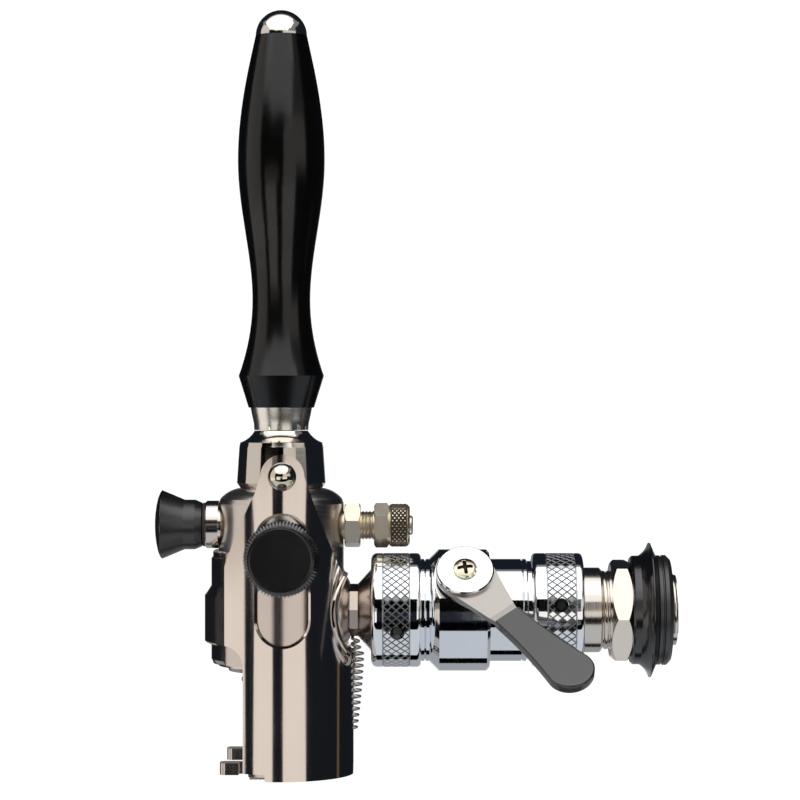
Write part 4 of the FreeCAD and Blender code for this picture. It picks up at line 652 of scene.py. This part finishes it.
bleed_place = (-141.0, 0, 25.85)
bleed_axis = (-1, 0, 0)
bleed_teeth = 90
bleed_teeth_low = 12.1
bleed_teeth_high = 12.7
bleed_tooth_depth = 0.0002
bleed_black = finish("satin_bleed_knob", (0.004, 0.0043, 0.005), (0.010, 0.011, 0.013),
                     (0.26, 0.34), 0.0, (1400, 1400, 1400), 60, 0.000006, 0.0, 1.0)
trumpet = turned("bleed_knob_trumpet", bleed_place, bleed_axis,
                 [(0, 0), (6.3, 0), (6.6, 0.2), (7.4, 2.1), (7.5, 2.4), (7.5, 5.4), (7.6, 5.7),
                  (10.2, 11.9), (10.35, 12.15), (10.3, 12.35), (9.95, bleed_teeth_high),
                  (8.6, 13.3), (6.6, 13.8), (4.4, 14.15), (2.2, 14.35), (0, 14.4)],
                 2 * bleed_teeth)
cut_teeth(trumpet, bleed_place, bleed_axis, bleed_teeth, bleed_teeth_low, bleed_teeth_high,
          bleed_tooth_depth)
trumpet.data.materials.append(bleed_black)
trumpet.data.materials.append(tooth_black)
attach(trumpet, "bleed_valve")
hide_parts("bleed_knob")


# The tail piece and the union nuts: a turned steel cone and two knurled chromed nuts, one on
# each side of the shut-off valve.

tail_steel = finish("turned_tail_steel", (0.44, 0.37, 0.32), (0.52, 0.45, 0.40), (0.16, 0.22),
                    1.0, turned_along, 20, 0.000008)
union_chrome = finish("union_chrome", (0.92, 0.94, 0.96), (0.97, 0.98, 1.0), (0.03, 0.08),
                      1.0, turned_along, 60, 0.000004)
# Darker chrome for the knurl's groove walls: shade painted into the grooves, and a rougher cut.
groove_shade_chrome = finish("rough_groove_chrome_painted_shade", (0.34, 0.35, 0.36), (0.48, 0.49, 0.50), (0.24, 0.36),
                       1.0, turned_along, 60, 0.000004)
# Dark finish for the spanner holes' walls and floor: shade painted into the holes.
hole_shade_paint = finish("painted_shade_drill_hole", (0.03, 0.03, 0.03), (0.09, 0.09, 0.09), (0.15, 0.3),
                    1.0, (900, 900, 900), 200)
dress(tail_steel, "tail_piece")

nut_radius = 17.2
nut_bore = 12.9
thread_radius = 14.3
thread_end = 3.1
groove_radius = 16.95
nut_sides = 48
knurl_rows = 3
knurl_inside = 16.5
knurl_border = 0.0002
knurl_rise = 0.00025
hole_from_end = 7.1
hole_foot = 15.6
hole_radius = 2.1
hole_walls = (15.4, 16.9)
for node, body, nut_start, nut_length, nose, knurl_start, knurl_end, hole_angle in (
        ("union_nut_front", "front_union_nut", -90.1, 15.0, 1.8, -86.5, -78.6, 19.7),
        ("union_nut_rear", "rear_union_nut", -41.6, 15.2, 1.2, -37.5, -29.0, -9.0)):
    first = knurl_start - nut_start
    row = (knurl_end - knurl_start) / knurl_rows
    nut_outline = [
        (nut_bore, 0), (nut_radius - nose, 0), (nut_radius - 0.62 * nose, 0.08 * nose),
        (nut_radius - 0.29 * nose, 0.29 * nose), (nut_radius - 0.08 * nose, 0.62 * nose),
        (nut_radius, nose), (nut_radius, nose + 0.15), (nut_radius, first - 0.25),
        (groove_radius, first),
        *((groove_radius, first + i * row) for i in range(1, knurl_rows + 1)),
        (nut_radius, first + knurl_rows * row + 0.25),
        (nut_radius, nut_length - 1.35), (nut_radius, nut_length - 1.2),
        (nut_radius - 0.1, nut_length - 0.74), (nut_radius - 0.35, nut_length - 0.35),
        (nut_radius - 0.74, nut_length - 0.1), (nut_radius - 1.2, nut_length),
        (thread_radius, nut_length), (thread_radius, thread_end), (nut_bore, thread_end),
        (nut_bore, 0)]
    nut = turned(node + "_knurled", (nut_start, 0, 0), (1, 0, 0), nut_outline, nut_sides)
    nut.data.materials.append(union_chrome)
    nut.data.materials.append(groove_shade_chrome)
    knurl(nut, knurl_start, knurl_end, knurl_inside, 0, knurl_border, knurl_rise)

    angle = math.radians(hole_angle)
    outward = Vector((0, -math.cos(angle), -math.sin(angle)))
    hole_middle = Vector((nut_start + nut_length - hole_from_end, 0, 0))
    hole = turned("spanner_hole", hole_middle + outward * hole_foot, outward,
                  [(0, 0), (1.3, 0), (hole_radius, 0.7), (hole_radius, 1.45), (2.6, 1.95),
                   (2.6, 3.0), (0, 3.0)], 32)
    bpy.ops.object.select_all(action="DESELECT")
    nut.select_set(True)
    bpy.context.view_layer.objects.active = nut
    drill = nut.modifiers.new("spanner hole", "BOOLEAN")
    drill.operation = "DIFFERENCE"
    drill.object = hole
    bpy.ops.object.modifier_apply(modifier="spanner hole")
    bpy.data.objects.remove(hole)
    nut.data.materials.append(hole_shade_paint)
    # The hole's walls and floor take that dark finish, as painted shade.
    for face in nut.data.polygons:
        out = face.center * 1000 - hole_middle
        rise = out.dot(outward)
        aside = (out - outward * rise).length
        if hole_walls[0] < rise < hole_walls[1] and aside < hole_radius + 0.05:
            face.material_index = 2
    bpy.ops.object.shade_smooth_by_angle(angle=math.radians(30))
    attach(nut, body)
    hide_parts(node)


# The shut-off valve: a chromed brass ball valve between the union nuts. A cross-head screw and
# a chromed cap hold the cranked steel lever, with its dipped vinyl grip, on the slanted stem.

valve_chrome = finish("valve_chrome", (0.82, 0.84, 0.88), (0.90, 0.92, 0.95), (0.03, 0.09),
                      1.0, turned_along, 60, 0.000004)
seat_plastic = finish("white_seat_plastic", (0.82, 0.82, 0.80), (0.92, 0.92, 0.90), (0.3, 0.4),
                      0.0, (500, 500, 500), 60)
lever_steel = finish("satin_lever_steel", (0.36, 0.34, 0.31), (0.44, 0.41, 0.38), (0.26, 0.36),
                     1.0, (500, 500, 500), 60)
cap_chrome = finish("chromed_lever_cap", (0.84, 0.85, 0.86), (0.93, 0.94, 0.95), (0.10, 0.18),
                    1.0, (700, 700, 700), 60, 0.000004)
screw_brass = finish("nickelled_screw", (0.70, 0.64, 0.46), (0.84, 0.78, 0.62), (0.14, 0.22),
                     1.0, (600, 600, 600), 90)
grip_vinyl = finish("dipped_grip_vinyl", (0.010, 0.010, 0.010), (0.016, 0.0155, 0.015),
                    (0.28, 0.33), 0.0, (1100, 1100, 1100), 60, 0.000006, 0.5, 1.0)
dress(valve_chrome, "valve_body", "valve_sleeve", "valve_ball", "valve_stem")
dress(seat_plastic, "valve_seats")
dress(lever_steel, "valve_lever")
dress(cap_chrome, "lever_cap")

# Dark finish for the screw's cross recess: shade painted into the recess.
recess_shade_paint = finish("painted_shade_screw_recess", (0.02, 0.016, 0.010), (0.07, 0.055, 0.035), (0.4, 0.6),
                    1.0, (900, 900, 900), 200)
stem_tilt = math.radians(38.6)
stem_axis = Vector((0, -math.cos(stem_tilt), math.sin(stem_tilt)))
stem_place = Vector((-62.1, 0, 0))
screw_height = 21.4
recess_radius = 2.4
recess_floor = 0.5
screw_foot = stem_place + stem_axis * screw_height
screw = merged_copy("cross_head_screw", "lever_screw")
bpy.ops.object.shade_smooth_by_angle(angle=math.radians(35))
screw.data.materials.append(screw_brass)
screw.data.materials.append(recess_shade_paint)
# The recess floor and walls take that dark finish, as painted shade.
for face in screw.data.polygons:
    out = face.center * 1000 - screw_foot
    height = out.dot(stem_axis)
    radius = (out - stem_axis * height).length
    wall = abs(face.normal.dot(stem_axis)) < 0.3
    if height > 0 and radius < recess_radius and (height < recess_floor or wall):
        face.material_index = 1
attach(screw, "shutoff")
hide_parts("lever_screw")
dress(grip_vinyl, "lever_grip")


# The wall fittings: the threaded steel shank that carries the tap, its nickelled lock nut, and
# the black rubber flange and grooved plastic washer that the nut presses on the wall.

shank_steel = finish("turned_shank_steel", (0.72, 0.66, 0.59), (0.84, 0.79, 0.73), (0.12, 0.22),
                     1.0, turned_along, 60)
nut_brass = finish("nickelled_lock_nut", (0.93, 0.81, 0.70), (0.98, 0.88, 0.78), (0.10, 0.16),
                   1.0, (700, 700, 700), 70, 0.000006)
flange_rubber = finish("black_flange_rubber", (0.004, 0.004, 0.005), (0.010, 0.010, 0.012),
                       (0.15, 0.22), 0.0, (900, 900, 900), 50, 0.000006, 0.0, 1.0)
washer_plastic = finish("black_washer_plastic", (0.012, 0.012, 0.013), (0.026, 0.026, 0.028),
                        (0.28, 0.40), 0.0, (1300, 1300, 1300), 60, 0.00001, 0.0, 1.0)
dress(shank_steel, "shank")
dress(nut_brass, "shank_lock_nut")
dress(flange_rubber, "wall_flange")

washer_width = 4.3
washer_bore = 11.42
washer_outline = [(washer_bore, 0), (16.2, 0), (16.5, 0.3), (16.5, 1.25), (16.1, 1.5),
                  (16.1, 1.7), (16.6, 2.0), (16.6, 3.1), (15.4, washer_width),
                  (washer_bore, washer_width), (washer_bore, 0)]
washer = turned("grooved_washer", (-washer_width, 0, 0), (1, 0, 0), washer_outline, 96)
bpy.ops.object.shade_smooth_by_angle(angle=math.radians(30))
washer.data.materials.append(washer_plastic)
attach(washer, "tap_body")
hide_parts("wall_washer")

thread_pitch = 1.81
thread_steps = 64
ridge_sides = 8
ridge_half_width = 0.0008
ridge_flatness = 0.62
for name, start, turns, radius in (("front_thread", -20.2, 1.5, 11.4),
                                   ("end_thread", 0.5, 0.35, 10.55)):
    bpy.ops.object.select_all(action="DESELECT")
    bpy.ops.mesh.primitive_circle_add(vertices=ridge_sides, radius=ridge_half_width,
                                      location=(start / 1000, 0, radius / 1000),
                                      rotation=(math.pi / 2, 0, 0))
    ridge = bpy.context.object
    ridge.name = name
    ridge.scale = (1, ridge_flatness, 1)
    bpy.ops.object.transform_apply(location=True, rotation=True, scale=True)
    sweep = ridge.modifiers.new("sweep", "SCREW")
    sweep.axis = "X"
    sweep.angle = 2 * math.pi * turns
    sweep.screw_offset = thread_pitch * turns / 1000
    sweep.steps = int(thread_steps * turns)
    sweep.render_steps = int(thread_steps * turns)
    sweep.use_merge_vertices = False
    bpy.ops.object.modifier_apply(modifier="sweep")
    bpy.ops.object.mode_set(mode="EDIT")
    bpy.ops.mesh.select_all(action="SELECT")
    bpy.ops.mesh.fill_holes(sides=ridge_sides)
    bpy.ops.mesh.select_all(action="SELECT")
    bpy.ops.mesh.normals_make_consistent(inside=False)
    close_up(50)
    ridge.data.materials.append(shank_steel)
    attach(ridge, "tap_body")
